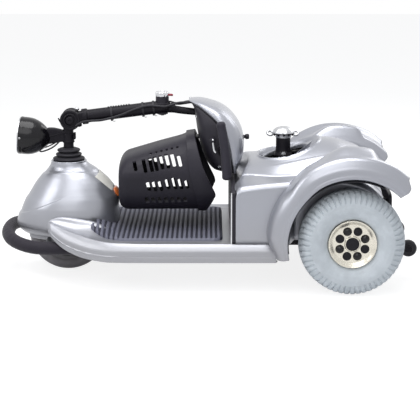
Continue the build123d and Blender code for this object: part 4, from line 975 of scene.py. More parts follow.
def tyreGrid(kind, x, y, z, outward):
    # section of (radius, sideways) swept round the axle; curved notches are cut into the shoulder
    spec = tyreShape[kind]
    big, half, bead, lugs = spec["radius"], spec["half"], spec["bead"], spec["lugs"]
    deep = big - bead
    wall = [(0.3, 0.93), (0.46, 1), (0.6, 0.99), (0.7, 0.945), (0.8, 0.85), (0.9, 0.68)]
    side = [(bead + 0.2, half * 0.50), (bead + 1.0, half * 0.62), (bead + 4, half * 0.68),
            (bead + 9, half * 0.77)]
    side += [(bead + deep * up, half * wide) for up, wide in wall]
    side += [(big - 2.2, half * 0.44), (big - 0.7, half * 0.2), (big - 0.4, 0)]
    line = softened(side, 2.6, 4)
    tread = evenly(np.concatenate([line, (line * [1, -1])[-2::-1]]), 96)
    a = circle(max(lugs, 1) * spec["columns"])[:, None]
    r, s = tread[None, :, 0] + 0 * a, tread[None, :, 1] + 0 * a
    across = np.clip(np.abs(s) / half, 0, 1)
    depth = (r - bead) / deep
    if lugs:
        # each notch bends back as it leaves the shoulder; rows of blocks meet at a middle rib
        turn = a * lugs / (2 * np.pi) + 0.9 * (1 - depth) + 0.8 * (1 - across) + 0.25 * np.sign(s)
        notch = 1 - ease(0.20, 0.34, np.abs((turn % 1) - 0.5) * 2)
        rib = np.exp(-(across / 0.14) ** 4)
        cut = spec["groove"] * np.clip(np.maximum(notch * (1 - rib), hump(across, 0.34, 0.05)), 0, 1) \
            * ease(0.60, 0.68, depth)
        inward = 0.35 + 0.65 * ease(0.68, 0.9, depth)
        r = r - cut * inward
        s = s - np.sign(s) * cut * (1 - inward) * 0.9
    else:
        for place in (0.0, 0.26, 0.5):
            r = r - 1.6 * hump(across, place, 0.035) * ease(0.62, 0.74, depth)
    # two raised lines on the sidewall
    s = s + np.sign(s) * 0.55 * (hump(depth, 0.17, 0.022) + 0.6 * hump(depth, 0.57, 0.012))
    return xyz(x + r * np.cos(a), y + outward * s, z + r * np.sin(a)), True, True


# hub (x, y, z) and the way that its outer face looks along y
wheelPlaces = {side: (rearAxle[0], sign * 240, rearAxle[1], sign)
               for side, sign in (("Left", 1), ("Right", -1))}
for name, place in wheelPlaces.items():
    makePiece("rearTyre" + name, [tyreGrid("rear", *place)], "rear_wheel_" + name.lower(), "greyTyre",
              ["rear_tyre_" + name.lower()], 50)
makePiece("frontTyre", [tyreGrid("front", *frontHub, 1)], "front_wheel", "frontTyre", ["front_tyre"], 50)
print("tyres")

# Rear rims: dished disc, four domed nuts between four flat dark discs that paint the shade of open holes,
# black centre cap

rimShape = {"circle": 32.8, "out": 4.0, "flat": 45.5, "narrow": 0.86}
dish = softened([(15.9, -20), (15.9, 24.5), (17.2, 25.2), (18.6, 24.6), (19.2, 21.6), (21, 21), (45.5, 21),
                 (48.2, 21.8), (52.5, 24.6), (57.5, 28.2), (59.4, 29), (60.6, 28.4), (60.9, 26.6), (60.9, 22),
                 (58, 20), (57.2, 16), (56.8, -20), (60.6, -23), (59.6, -25), (54, -22), (53.4, -8),
                 (53.4, 12), (50, 16.5), (20, 17), (18.4, 14), (18.4, -20)], 1.1, 3, True)
dish[:, 0] -= (1 - rimShape["narrow"]) * np.maximum(dish[:, 0] - rimShape["flat"], 0)
dish[:, 1] += rimShape["out"] * ease(-10, 10, dish[:, 1])
nutForm = softened([(0, 34), (3.5, 33.6), (6.8, 31.8), (9.4, 28.6), (10.8, 25.6), (11.1, 24), (11.1, 21),
                    (0, 21)], 0.8, 4)
# flat dark disc between the nuts: painted shade of an open hole in the dish
holeShadeForm = softened([(0, 25.8), (4.2, 25.8), (4.6, 25.2), (8.6, 25.2), (9.0, 26.4), (10.6, 26.4),
                     (10.9, 24.6), (10.9, 21), (0, 21)], 0.3, 3)
capForm = softened([(0, 30.4), (6, 30.4), (6.4, 29.9), (10.5, 29.9), (10.9, 30.6), (14.2, 30.4), (15.6, 29.4),
                    (15.8, 27.4), (15.8, 14), (0, 14)], 0.4, 3)
backForm = [(0, 4), (53, 4), (53, 7), (0, 7)]
shaftForm = [(0, 18), (15.7, 18), (15.7, -24), (12, -24.5), (0, -24.5)]
for name, (x, y, z, outward) in wheelPlaces.items():
    side, centre, axis = name.lower(), (x, y, z), (0, outward, 0)
    spots = []
    for k in range(8):
        angle = 2 * math.pi * (k + 0.5) / 8
        spots.append((x + rimShape["circle"] * math.cos(angle), y, z + rimShape["circle"] * math.sin(angle)))
    # the spots between the nuts get the dark discs, painted shade of open holes
    nuts, holeShades = (spots[1::2], spots[::2]) if outward > 0 else (spots[::2], spots[1::2])
    for piece, grids, finish, node in (
            ("rimDish", [hoop(dish, centre, axis, 96)], "wheel", ["rear_rim_" + side]),
            ("rimBack", [turned(backForm, centre, axis, 64), turned(shaftForm, centre, axis, 40)],
             "steel", []),
            ("wheelNuts", [turned(nutForm, spot, axis, 24) for spot in nuts], "gloss", []),
            ("rimHoleShades", [turned(holeShadeForm, spot, axis, 24) for spot in holeShades], "darkCap", []),
            ("hubCap", [turned(capForm, centre, axis, 56)], "darkCap", ["hub_cap_" + side])):
        makePiece(piece + name, grids, "rear_wheel_" + side, finish, node, 35)
print("rear rims")

# Front rim: two dished faces, a turned hub and eight plugs on each side

frontRimShape = {"circle": 34, "holeShades": 8}
face = softened([(15, 27), (15, 10), (24, 5.4), (44, 4.6), (50, 7), (55, 14), (60.6, 17), (61.6, 15.6),
                 (61.6, 0.2), (15, 0.2)], 1.0, 4)
hub = softened([(7.0, 28.8), (11, 28.8), (13.4, 27.6), (14.8, 25.6), (15.2, 10), (7.0, 10)], 0.5, 3, True)
pocket = [(0, 5.7), (5.6, 5.7), (6.4, 6.4), (7.4, 6.2), (7.6, 4), (0, 4)]
rims, pockets = [], []
for sign in (1, -1):
    rims += [turned(face, frontHub, (0, sign, 0), 72), hoop(hub, frontHub, (0, sign, 0), 48)]
for angle in circle(frontRimShape["holeShades"]):
    reach = frontRimShape["circle"]
    place = (frontHub[0] + reach * math.cos(angle), 0, frontHub[2] + reach * math.sin(angle))
    pockets += [turned(pocket, place, (0, sign, 0), 24) for sign in (1, -1)]
makePiece("frontRim", rims, "front_wheel", "alloy", ["front_rim"], 35)
makePiece("frontRimPlugs", pockets, "front_wheel", "sheath", [], 35)
print("front rim")

# Tiller head: silver cover over a dark underside

headShape = {
    "crease": 1.3, "screws": [(27, 48, 407), (2, 79, 345), (-30, 88, 286)],
    # rows from the front edge over the top to the low tip: crown (x, z), side edge (x, z), half width
    "rows": [(46, 446, 44, 444.5, 34), (20, 447, 15, 430, 61), (-8, 441, -7, 415, 80),
             (-33, 432, -24, 401, 92), (-55, 418, -38.5, 384, 97.5), (-72, 400, -48, 366, 99),
             (-84, 381, -53.5, 346, 99.4), (-91, 362, -57, 329, 99.4), (-94.5, 342, -59.5, 314, 99.4),
             (-94, 322, -62, 300, 99.2), (-89.5, 302, -64.5, 290, 98.6), (-81, 284, -67, 277, 97.2),
             (-72, 267.5, -69.5, 267.5, 96)],
    # underside: front line (x, z) beside the same side edges
    "front": [(43, 444), (33.5, 425), (28.5, 396), (25, 372), (18, 338), (7, 303), (-5, 282), (-17, 270.5),
              (-30, 266.5), (-42, 264.8), (-55, 264.4), (-64, 265.6), (-70.5, 267)],
}


def headSection(middle, edge, width, pull=0.8, sink=0.7):
    # across each row: |y| = w * sin^p, and the middle line sinks to the edge as cos^q
    phi = np.radians(np.linspace(-90, 90, 91))
    xz = edge[:, None] + (middle - edge)[:, None] * (np.abs(np.cos(phi)) ** sink)[None, :, None]
    return xyz(xz[..., 0], width[:, None] * bulge(np.sin(phi), pull)[None], xz[..., 1])


rows = through(headShape["rows"], 100)
crown, edge, width = rows[:, :2], rows[:, 2:4], rows[:, 4]
cover = headSection(crown, edge, width)
# a soft crease runs along the crown on each side and fades at both ends
ends = np.sin(np.pi * np.linspace(0, 1, 100)[:, None])
crease = hump(np.abs(np.linspace(-1, 1, 91))[None], 0.44, 0.05) * ends * headShape["crease"]
outwards = (crown - edge) / np.linalg.norm(crown - edge, axis=1)[:, None]
cover[..., 0] += crease * outwards[:, :1]
cover[..., 2] += crease * outwards[:, 1:]
makePiece("headCover", [(cover, False, False)], "tiller", "silver", ["head_cover"], 40, shell=2.6,
          away=(0, 0, 340))
trims = []
for sign in (1, -1):
    line = xyz(edge[:, 0] + 0.5, sign * (width - 1.0), edge[:, 1] - 1.2)
    trims.append(swept(line[1:-1], 1.6, 10))

# dark underside: flat in front, with a shallow channel for the column, inside the cover's edges
rows = through(np.column_stack([headShape["front"], np.array(headShape["rows"], float)[:, 2:]]), 90)
panel = headSection(rows[:, :2], rows[:, 2:4] + [0.6, -1.6], rows[:, 4] - 2.8, 0.7, 0.55)
panel[..., 0] -= 6 * (hump(panel[..., 1], 0, 17.0) * ease(400, 425, panel[..., 2]))
makePiece("headPanel", [(panel, False, False)], "tiller", "plastic", ["head_panel"], 45, shell=2.0,
          away=(-90, 0, 420))
makePiece("headTrim", trims, "tiller", "sheath")

screw = [(0, 1.2), (1.1, 1.2), (1.2, 0.3), (1.9, 0.3), (2.1, 1.6), (3.4, 1.2), (3.9, 0.2), (3.9, -4), (0, -4)]
screws = [turned(screw, (x, sign * y, z), (0.75, sign * 0.66, 0), 24) for sign in (1, -1)
          for x, y, z in headShape["screws"]]
makePiece("headScrews", screws, "tiller", "chrome")
print("tiller head")

# Grips, bars and thumb levers

gripShape = {"top": (-33, 405.5), "low": (-50.5, 257.5), "radius": 12.0, "y": 122}


def gripGrid(sign):
    # foam sleeve: rings with domed ends, waisted a little and with a few ribs near the top
    t = np.linspace(0, 1, 90)
    top, low = np.array(gripShape["top"], float), np.array(gripShape["low"], float)
    line = top + (low - top) * t[:, None]
    path = xyz(line[:, 0] - 3 * np.sin(np.pi * t), sign * gripShape["y"], line[:, 1])
    r = gripShape["radius"] * (0.95 + 0.11 * t - 0.03 * np.sin(np.pi * t))
    edge = np.minimum(t, 1 - t) * 148
    r = r * np.sqrt(np.clip(1 - (1 - np.clip(edge / 8, 0, 1)) ** 2, 0.0, 1)) + 0.02
    r = r - 0.5 * (np.abs(t[:, None] - np.array([0.1, 0.13, 0.16, 0.84, 0.87, 0.9])).min(1) < 0.006)
    pts = swept(path, r, 28, capped=False)[0]
    first, last = [np.repeat(ring.mean(1, keepdims=True), 28, 1) for ring in (pts[:1], pts[-1:])]
    return np.concatenate([first, pts, last]), False, True


makePiece("gripSleeves", [gripGrid(1), gripGrid(-1)], "tiller", "gripFoam", ["grips"], 60)
leverPin = [(0, 11.4), (1.6, 11.4), (2.3, 10.6), (2.3, 6), (0, 6)]
hubForm = softened([(0, 12), (4.6, 12), (6.4, 10), (7, 2), (7, -16), (0, -16)], 1, 3)
barCollar = softened([(11.5, 0), (13.8, 1), (13.8, 5), (11.5, 6), (9, 6), (9, 0)], 0.8, 3, True)
levers, hubs, bars = [], [], []
for sign in (1, -1):
    axis = (0, sign, 0)
    lever = [(x, sign * y, z) for x, y, z in ((-14.6, 104, 353), (-15.4, 105, 345), (-16.8, 105.5, 336),
                                              (-18.6, 106, 329), (-22, 106, 325))]
    bar = [(x, sign * y, 330) for x, y in ((-37, 96.5), (-37, 104), (-37.5, 112), (-38, 121))]
    levers += [swept(through(lever, 30), np.linspace(2.2, 3.0, 30), 14, squash=0.7),
               turned(leverPin, (-14.6, sign * 96, 356.5), axis, 20)]
    hubs.append(turned(hubForm, (-14, sign * 94, 354), axis, 28))
    bars += [swept(through(bar, 16), 9.2, 20), hoop(barCollar, (-37, sign * 97.2, 330), axis, 30)]
makePiece("thumbLevers", levers, "tiller", "chrome", ["levers"], 40)
makePiece("leverHubs", hubs, "tiller", "plastic", (), 40)
makePiece("gripBars", bars, "tiller", "steel", ["handlebar"], 45)
dial = softened([(0, 13), (4.5, 12.8), (6.4, 11.6), (7, 9.6), (6.6, 8.4), (7, 7.2), (6.6, 6), (7, 4.8),
                 (6.4, 3.4), (4.4, 2.4), (4.4, -8), (0, -8)], 0.5, 3)
makePiece("speedDial", [turned(dial, (-95, 0, 348), (-1, 0, 0), 36)], "tiller", "plastic", ["speed_knob"], 35)
print("grips and controls")

# Basket: raised band at a curved mouth, sloping top, rounded front, slots through both sides

basketShape = {
    "half": 110.0, "wall": 3.2, "bottom": 166.0, "front": 223.0,
    "mouth": [(160, 8), (166, 3), (180, -5), (193, -12), (206, -18), (219, -21), (257, -3), (295, 12),
              (346, 27), (368, 33)],
    "band": [(160, 24), (166, 23), (180, 23), (193, 24), (244, 37), (295, 47), (333, 51), (368, 55)],
    "top": [(-60, 378), (20, 360), (49, 355.5), (69, 348), (121, 333.5), (172, 318), (198, 310), (223, 302)],
}
mouthLine, bandLine, topLine = [through(basketShape[k], 400) for k in ("mouth", "band", "top")]


def basketRing(share, grow=0.0, power=3.4):
    # ring at a share of the way to the front; the band takes the first fifth
    def across(z):
        mouth, band = [np.interp(z, line[:, 0], line[:, 1]) for line in (mouthLine, bandLine)]
        if share < 0.2:
            return mouth + (band - mouth) * share / 0.2
        return band + (basketShape["front"] - band) * (share - 0.2) / 0.8

    high, low = 340.0, basketShape["bottom"]
    for step in range(12):
        high = float(np.interp(across(high), topLine[:, 0], topLine[:, 1]))
    a = circle(120)
    z = (high + low) / 2 + ((high - low) / 2 + grow) * bulge(np.sin(a), 2 / power)
    # the sides are widest at a bend and lean in above and below it
    lean = 1 - 0.18 * np.clip((262 - z) / 96, 0, 1) - 0.12 * np.clip((z - 274) / 80, 0, 1.2)
    return xyz(across(z), (basketShape["half"] + grow) * lean * bulge(np.cos(a), 2 / power), z)


def basketGrid():
    rows = [basketRing(share, grow) for share, grow in
            [(0.0, -3), (0.0, 4.2), (0.006, 5), (0.19, 5), (0.199, 4.2), (0.2, 0.2)]
            + [(share, 0.0) for share in np.linspace(0.21, 0.9, 30)]]
    for t in np.radians(np.linspace(8, 90, 9)):
        # the front turns in with a quarter circle
        rows.append(basketRing(0.9 + 0.098 * math.sin(t), -19 * (1 - math.cos(t)), 3.4 - 0.2 * math.sin(t)))
    end, middle = rows[-1], rows[-1].mean(0)
    rows += [middle + (end - middle) * t + [0.5 * (1 - t), 0, 0] for t in (0.93, 0.8, 0.6, 0.4, 0.2, 0.0)]
    pts = np.array(rows)
    # step under the top: a line that runs forward along each side
    x, z = pts[..., 0], pts[..., 2]
    over = z - (322 - 0.2 * (x - 60))
    band = ease(-12, -9, over) * (1 - ease(0, 3, over)) * ease(56, 70, x) * (1 - ease(185, 205, x))
    pts[..., 1] += np.sign(pts[..., 1]) * 1.4 * band * (np.abs(pts[..., 1]) > 80)
    return pts, False, True


slotRows = {
    # near and far side: (x, low, high) of every slot
    88: [(181, 277.4, 310), (157.5, 273, 318.8), (141.4, 275, 321), (128.9, 277.4, 320),
         (114.5, 281.8, 321), (99.5, 284, 321), (84.6, 288, 319), (68.9, 288.3, 315), (146, 226, 250),
         (131, 225, 251.5), (116, 225.7, 252.6), (98, 230, 258), (81, 230, 262), (66, 230, 259),
         (50, 232, 255), (150, 184, 210), (134, 184, 210), (118, 184, 210), (102, 184, 210), (86, 184, 210),
         (70, 184, 210), (54, 184, 210)],
    -130: [(184, 296, 318), (168, 296, 320), (152, 296, 322), (136, 296, 323), (120, 296, 324),
           (104, 296, 325), (88, 296, 325), (72, 296, 325), (153, 266, 288), (137.8, 262, 289),
           (122.6, 257.3, 289), (106.6, 252.7, 288), (90.6, 249.2, 287), (74, 249.2, 286), (158, 181, 227),
           (143.5, 181, 227), (127.5, 181, 227), (108.4, 181, 227), (90.4, 181, 227), (74.4, 181, 227),
           (57.5, 181, 227)],
}


def slotCutters():
    # leaning bars through each side; round holes through the top
    c, s = math.cos(math.radians(-14)), math.sin(math.radians(-14))
    grids = []
    for start, slots in slotRows.items():
        for x, low, high in slots:
            half = (high - low) / 2
            u, v = softened([(-4.7, -half), (4.7, -half), (4.7, half), (-4.7, half)], 4.2, 5, True).T
            rings = [xyz(x + u * c - v * s, y, (low + high) / 2 + u * s + v * c) for y in (start, start + 42)]
            ends = [np.repeat(ring.mean(0)[None], len(u), 0) for ring in rings]
            grids.append((np.array([ends[0], *rings, ends[1]]), False, True))
    for x in 143 - 13.2 * np.arange(6):
        z = float(np.interp(x, topLine[:, 0], topLine[:, 1]))
        for y in (76, -76):
            grids.append(turned([(0, -13), (3.6, -13), (3.6, 18), (0, 18)], (x, y, z - 2), (0.25, 0, 1), 16))
    return grids


basket = makePiece("basketShell", [basketGrid()], "tiller", "basket", ["basket"], 35,
                   shell=basketShape["wall"], away=(110, 0, 260))
cutter = makePiece("basketCutter", slotCutters(), "tiller", "basket")
carve = basket.modifiers.new("slots", "BOOLEAN")
carve.object, carve.operation, carve.solver = cutter, "DIFFERENCE", "EXACT"
bpy.context.view_layer.update()
carved = bpy.data.meshes.new_from_object(basket.evaluated_get(bpy.context.evaluated_depsgraph_get()))
basket.modifiers.clear()
basket.data = carved
smoothShaded(carved, 35)
bpy.data.objects.remove(cutter)
print("basket", len(carved.polygons))

# Headlight on its bracket: profiles turned about an axis that tips up by 6 degrees

lampShape = {
    "place": (480, 0, 352), "axis": (0.9952, 0, 0.098),
    # bowl from the back boss round to the mouth and in again (radius, along the axis)
    "bowl": [(0, -80), (10, -80), (13, -78.5), (18, -74.5), (25, -69), (31, -62.5), (37, -54.5),
             (42, -45.5), (45.6, -36), (47.3, -27), (47.9, -18), (47.9, -11.2), (47.4, -10.6), (47.4, -9.6),
             (48.2, -9), (48.2, -2), (47.2, -0.4), (45.6, 0), (45, -1.2), (44.8, -9), (43.6, -24),
             (38, -45), (27, -60), (10, -70), (0, -71)],
}
lampAt, lampAxis = lampShape["place"], lampShape["axis"]
makePiece("lampBowl", [turned(evenly(lampShape["bowl"], 96), lampAt, lampAxis, 72)], "steering", "gloss",
          ["headlight_shell"], 40)
bead = [(45.9 + 1.5 * math.cos(a), 0.4 + 1.7 * math.sin(a)) for a in circle(14)]
makePiece("lampRim", [turned(bead + bead[:1], lampAt, lampAxis, 96)], "steering", "chrome")
dome = [(0, 3.4), (10, 3.2), (20, 2.5), (30, 1.3), (38, -0.2), (43, -1.6), (44.4, -2.6), (44.4, -6), (0, -6)]
makePiece("lampLens", [turned(softened(dome, 0.6, 3), lampAt, lampAxis, 72)], "steering", "glass",
          ["headlight_lens"], 35)

bracketForm = [(354, 0, 349, 12, 13), (363, 0, 350, 12, 14), (366, 0, 350, 10, 14.5), (378, 0, 350.8, 9, 17),
               (390, 0, 351, 9.5, 19.5), (400, 0, 350.5, 11, 20.5), (408, 0, 349.5, 12.5, 20.5),
               (416, 0, 346, 13, 18)]
collarForm = softened([(13.2, 333), (14.6, 333), (15.4, 334), (15.4, 337), (14.8, 338), (14.8, 351),
                       (15.4, 352), (15.4, 355.5), (14.6, 357), (13.2, 357)], 0.5, 3, True)
bracket = [boxed(through(bracketForm, 40), 6.0)]
for sign in (1, -1):
    rib = np.multiply([(360, 11.5, 360), (375, 9.6, 357), (392, 10, 352.5), (409, 13, 348.5)], [1, sign, 1])
    bracket.append(swept(through(rib, 30), 1.7, 12))
bracket.append(hoop(collarForm, (steerX, 0, 0), upward, 60))
for sign in (1, -1):
    bracket.append(boxed([(x, sign * 4.6, 350, a, b) for x, a, b in
                          ((342, 3.0, 8), (337.4, 3.0, 8.6), (336.4, 2.4, 7.6))], 8.0))
bracket += hexNut((339, 7.4, 350), sideways, 4.0, 3.0, 1.2)
makePiece("lampBracket", bracket, "steering", "steel", ["headlight_bracket"], 40)
loop = [(433, 9, 319), (429, 9, 313), (424, 9.5, 310.5), (411, 10, 314), (396, 10, 321), (384, 9, 330),
        (376, 6, 338)]
wire = [(438, -6, 318), (424, -8, 316), (404, -9, 323), (386, -8, 333), (377, -5, 340)]
makePiece("lampCord", [swept(through(loop, 60), 2.0, 12), swept(through(wire, 50), 1.6, 12)], "steering",
          "sheath")
# screws in the bowl's rim, a little behind its mouth
screw = [(0, 0.5), (1, 0.5), (1.1, -0.3), (2.4, -0.2), (3.2, -0.8), (3.2, -4), (0, -4)]
behind = 5.5
screws = [turned(screw, (lampAt[0] - behind * lampAxis[0], sign * 48.4, lampAt[2] - behind * lampAxis[2]),
                 (0, sign, 0), 20) for sign in (1, -1)]
makePiece("lampScrews", screws, "steering", "chrome")
print("headlight")

# Fork, stem and the lower half of the folding joint

forkForm = {"legY": 35.0, "footZ": 96, "footRadius": 15, "crown": (20, 39),
            "crownRows": [(206, 2), (206.6, 0.8), (208, 0), (214, 0), (215.4, 0.8), (216, 2)]}
length, width = forkForm["crown"]
fork = [uprightBox([(z, steerX, 0, length - inset, width - inset) for z, inset in forkForm["crownRows"]],
                   9.0)]
washer = softened([(6.2, 0), (12.5, 0), (12.5, 1.6), (6.2, 1.6)], 0.4, 3, True)
for sign in (1, -1):
    rows, foot, radius = [], forkForm["footZ"], forkForm["footRadius"]
    for z in np.concatenate([foot - radius * np.cos(np.linspace(0, math.pi / 2, 9)),
                             np.linspace(102, 208, 30)]):
        # round foot, then a leg that widens and leans back as it rises
        below = max(foot - z, 0)
        half = math.sqrt(max(radius ** 2 - below ** 2, 0.3)) if below else radius + 5 * (z - foot) / 120
        dimple = math.sin(math.pi * min(max((z - 120) / 80, 0), 1))
        lean = 6 * (max(z, foot) - foot) / 120
        rows.append((z, frontHub[0] - lean, sign * forkForm["legY"], half, 4 - dimple * 0.6))
    nutAt, washerAt = [(frontHub[0], sign * out, frontHub[2]) for out in (39, 38.4)]
    fork += [uprightBox(rows, 6.0)] + hexNut(nutAt, (0, sign, 0), 9.8, 6.5, 2.4)
    fork.append(hoop(washer, washerAt, (0, sign, 0), 36))
stemForm = softened([(0, 214), (19, 214), (19.5, 220), (14.5, 224), (13, 228), (13, 326), (12.8, 327),
                     (13, 328), (13, 358), (0, 358)], 0.8, 3)
fork.append(turned(stemForm, (steerX, 0, 0), upward, 48))
fork.append(turned([(0, -38), (6, -38), (6, 38), (0, 38)], frontHub, sideways, 24))
makePiece("forkCasting", fork, "steering", "steel", ["fork"], 40)

# pin of the folding joint
knuckle = (348, 0, 393)
tongue = softened([(0, -12), (22.5, -12), (24.5, -10.5), (24.5, 10.5), (22.5, 12), (0, 12)], 0.8, 3)
neckForm = [(357, 355, 0, 13, 11.9), (363, 355, 0, 13, 11.9), (372, 353, 0, 14.5, 11.9),
            (380, 350.5, 0, 17, 11.9), (388, 348, 0, 20, 11.9)]
pinHead = softened([(0, 30.2), (2.6, 30.2), (3.2, 31.6), (7.2, 31.4), (9.6, 30.2), (10.4, 28), (10.4, 26.2),
                    (5.9, 26.2), (5.9, 10), (0, 10)], 0.4, 3)
latch = through([(366, 7, 379), (371, 7, 384), (375, 7, 389), (379.5, 7, 396.5)], 20)
makePiece("foldBase", [turned(tongue, knuckle, sideways, 60), uprightBox(through(neckForm, 24), 3.2),
                       turned(pinHead, knuckle, sideways, 44), turned(pinHead, knuckle, (0, -1, 0), 6),
                       swept(latch, np.linspace(3.4, 1.3, 20), 14, squash=1.2)],
          "steering", "steel", ["knuckle_base"], 40)
print("fork and stem")

# Upper half of the folding joint, main tube and neck

cheekForm = softened([(6.6, 12.6), (24.5, 12.6), (26, 14), (26, 22.4), (25.2, 24.4), (23.4, 25.4),
                      (20.2, 25.4), (19.2, 24.2), (17.8, 23.6), (16.6, 24.4), (15.4, 25.3), (13.6, 25.3),
                      (12.6, 24.2), (11.4, 23.2), (6.6, 23.2)], 0.7, 4, True)
tube = []
for sign in (1, -1):
    arm = [(346, sign * 19, 393, 5.8, 17), (338, sign * 19, 394.6, 5.8, 16.4),
           (331, sign * 18, 396, 6.2, 15.6), (324, sign * 15, 397.6, 7, 14.6), (317, sign * 11, 399, 8, 14),
           (311, sign * 8, 400, 8, 13)]
    tube += [hoop(cheekForm, knuckle, (0, sign, 0), 72), boxed(through(arm, 26), 4.0)]
tubeShape = {"start": (322, 0, 398.7), "bend": (118, 0, 424.6), "teeth": 9, "pitch": 6.6}
tubeStart, tubeBend = np.array(tubeShape["start"]), np.array(tubeShape["bend"])
length = np.linalg.norm(tubeStart - tubeBend)
tubeWay = tuple((tubeBend - tubeStart) / length)
tubeForm = softened([(0, -8), (19, -8), (20, -7), (20, 5), (19.2, 6.2), (17.6, 6.8), (16.6, 8), (16.4, 12),
                     (16.4, 60), (16.2, 140), (16.4, length - 12), (16, length), (14, length + 9),
                     (9, length + 14), (0, length + 15)], 0.8, 3)
neck = through([(128, 0, 423), (112, 0, 423.5), (92, 0, 421), (76, 0, 417.5), (58, 0, 415), (40, 0, 413),
                (20, 0, 411)], 60)
neckRadius = np.interp(np.linspace(0, 1, 60), [0, 0.2, 0.45, 1], [15, 13.5, 9.5, 8.6])
tube += [turned(tubeForm, (311, 0, 400.1), tubeWay, 56), swept(neck, neckRadius, 32)]


def tubeZ(x):
    # height of the tube's axis
    return tubeBend[2] + (tubeStart[2] - tubeBend[2]) * (x - tubeBend[0]) / (tubeStart[0] - tubeBend[0])


# short rack of teeth on the top of the tube
for i in range(tubeShape["teeth"]):
    x = 252 - tubeShape["pitch"] * i
    z = tubeZ(x) + 15.2
    tube.append(slab((x - 1.7, -5.5, z - 1.4), (x + 1.7, 5.5, z + 2.6), -7.3))
makePiece("tillerTube", tube, "tiller", "steel", ["tiller_tube"], 42)
bolt = softened([(0, 6), (3.2, 6), (3.4, 4.4), (5.4, 4.6), (5.8, 3.8), (5.8, 0), (3.2, 0), (3.2, -10),
                 (0, -10)], 0.4, 3)
darkCap = softened([(0, 5), (2.5, 5.4), (5.4, 4), (6.2, 1), (6.2, -4), (0, -4)], 0.5, 3)
makePiece("foldBolt", [turned(bolt, (332, 0, 417.5), (-0.2, 0, 0.98), 24)], "tiller", "chrome")
makePiece("foldStop", [turned(darkCap, (325, 10, 380), (-0.3, 0.1, -0.95), 24)], "tiller", "steel")

# cable ties (x: turn in degrees): a band, a head and a loose tail each
tieTurns = {243: 80, 163: 95, 136: 70}
straps = []
band = [(16.3, -2.3), (18.2, -2.3), (18.2, 2.3), (16.3, 2.3)]
for x, turn in tieTurns.items():
    z = tubeZ(x)
    c, s = math.cos(math.radians(turn)), math.sin(math.radians(turn))
    end = [(x, 18.6 * c, z - 18.6 * s), (x - 5, 18.6 * c - 1, z - 18.6 * s - 2.6),
           (x - 9, 18.6 * c - 2, z - 18.6 * s - 2.4)]
    straps += [hoop(band, (x, 0, z), tubeWay, 40),
               slab((x - 2.4, 18.2 * c - 1.8, z - 18.2 * s - 2),
                    (x + 2.4, 18.2 * c + 1.8, z - 18.2 * s + 1.8)),
               swept(through(end, 10), 1.1, 10, squash=0.6)]
makePiece("cableStraps", straps, "tiller", "sheath")

cables = [
    # points, samples, radius, sides
    ([(334, 24.5, 379), (327, 23.5, 384), (315, 20.5, 389.2), (296, 19.6, 391.4), (269, 19.6, 393.2),
      (243, 19.6, 399.2), (221, 19.7, 405.8), (203, 19.5, 413), (186, 18.6, 420), (166, 18.4, 426.4),
      (147, 19.2, 430.4), (126, 21.4, 429.6), (106, 20.8, 428.4), (90, 16.5, 432), (75, 12, 436),
      (60, 10, 437.4), (44, 9, 437.6), (30, 8, 436)], 130, 3.0, 16),
    ([(150, -16, 431), (130, -20.5, 431), (106, -20.6, 428.5), (88, -14, 430.5), (70, -7, 431),
      (55, -4, 433.5), (40, -4, 435.6), (28, -4, 435)], 60, 2.6, 14),
    ([(112, 6, 438), (96, 4, 439), (80, 3, 435.4), (64, 1, 436.5), (48, 2, 439.6), (32, 3, 438.4)],
     50, 2.2, 14),
]
makePiece("tillerCables", [swept(through(route, count), radius, sides)
                           for route, count, radius, sides in cables],
          "tiller", "sheath", ["tiller_cable"], 60)

# Clamp knob: black barrel, scalloped bright cap, red lever, threaded end and nut below

clampShape = {"x": 114, "scallops": 9, "scallopDepth": 1.9}
clampX = clampShape["x"]


def scalloped(profile, x, wave):
    # rings of (radius, height, share); the wave pulls each radius in by its share
    a = circle(144)
    rows = [xyz(x + (r - share * wave) * np.cos(a), (r - share * wave) * np.sin(a), float(z))
            for r, z, share in profile]
    return np.array(rows), False, True


barrel = softened([(0, 430), (17.4, 430), (17.8, 433), (17.2, 434.5), (16.8, 436), (16.8, 450), (15.8, 452.4),
                   (0, 452.4)], 0.7, 4)
plate = [(z, clampX, 0, a, b) for z, a, b in
         ((407.4, 13.6, 12.4), (408, 14, 13), (410, 14, 13), (411, 13.2, 12))]
lowNut = hexNut((clampX, 0, 410.5), (0, 0, -1), 11.5, 5.6, 2.0)
makePiece("clampKnob", [turned(barrel, (clampX, 0, 0), upward, 56), uprightBox(plate, 6.0)] + lowNut,
          "tiller", "plastic", ["adjuster_knob"])
capForm = [(0, 452, 0), (16.4, 452, 0.2), (17.6, 452.8, 1), (17.9, 455, 1), (17.9, 460.5, 1),
           (17.2, 462.8, 0.9), (15.4, 464.2, 0.6), (12, 464.8, 0.2), (9, 464.6, 0), (8.4, 464, 0),
           (6, 463.8, 0), (0, 463.8, 0)]
grooves = clampShape["scallopDepth"] * (1 - np.abs(np.sin(circle(144) * clampShape["scallops"] / 2)) ** 0.7)
makePiece("clampCap", [scalloped(capForm, clampX, grooves)], "tiller", "chrome", (), 35)
redForm = [(104, 0, 455.4, 7, 2.6), (97, 1, 455.6, 6.4, 2.8), (92, 2, 455.6, 5, 2.8),
           (88, 3, 455.2, 4.2, 2.6), (86.6, 3.2, 455, 3, 1.8)]
makePiece("clampLever", [boxed(through(redForm, 20), 3.0)], "tiller", "redLever", (), 50)
print("tube, cables and clamp")

# Seat post and plate: flared black post, bright scalloped dome, two ring eyes, cross bolt

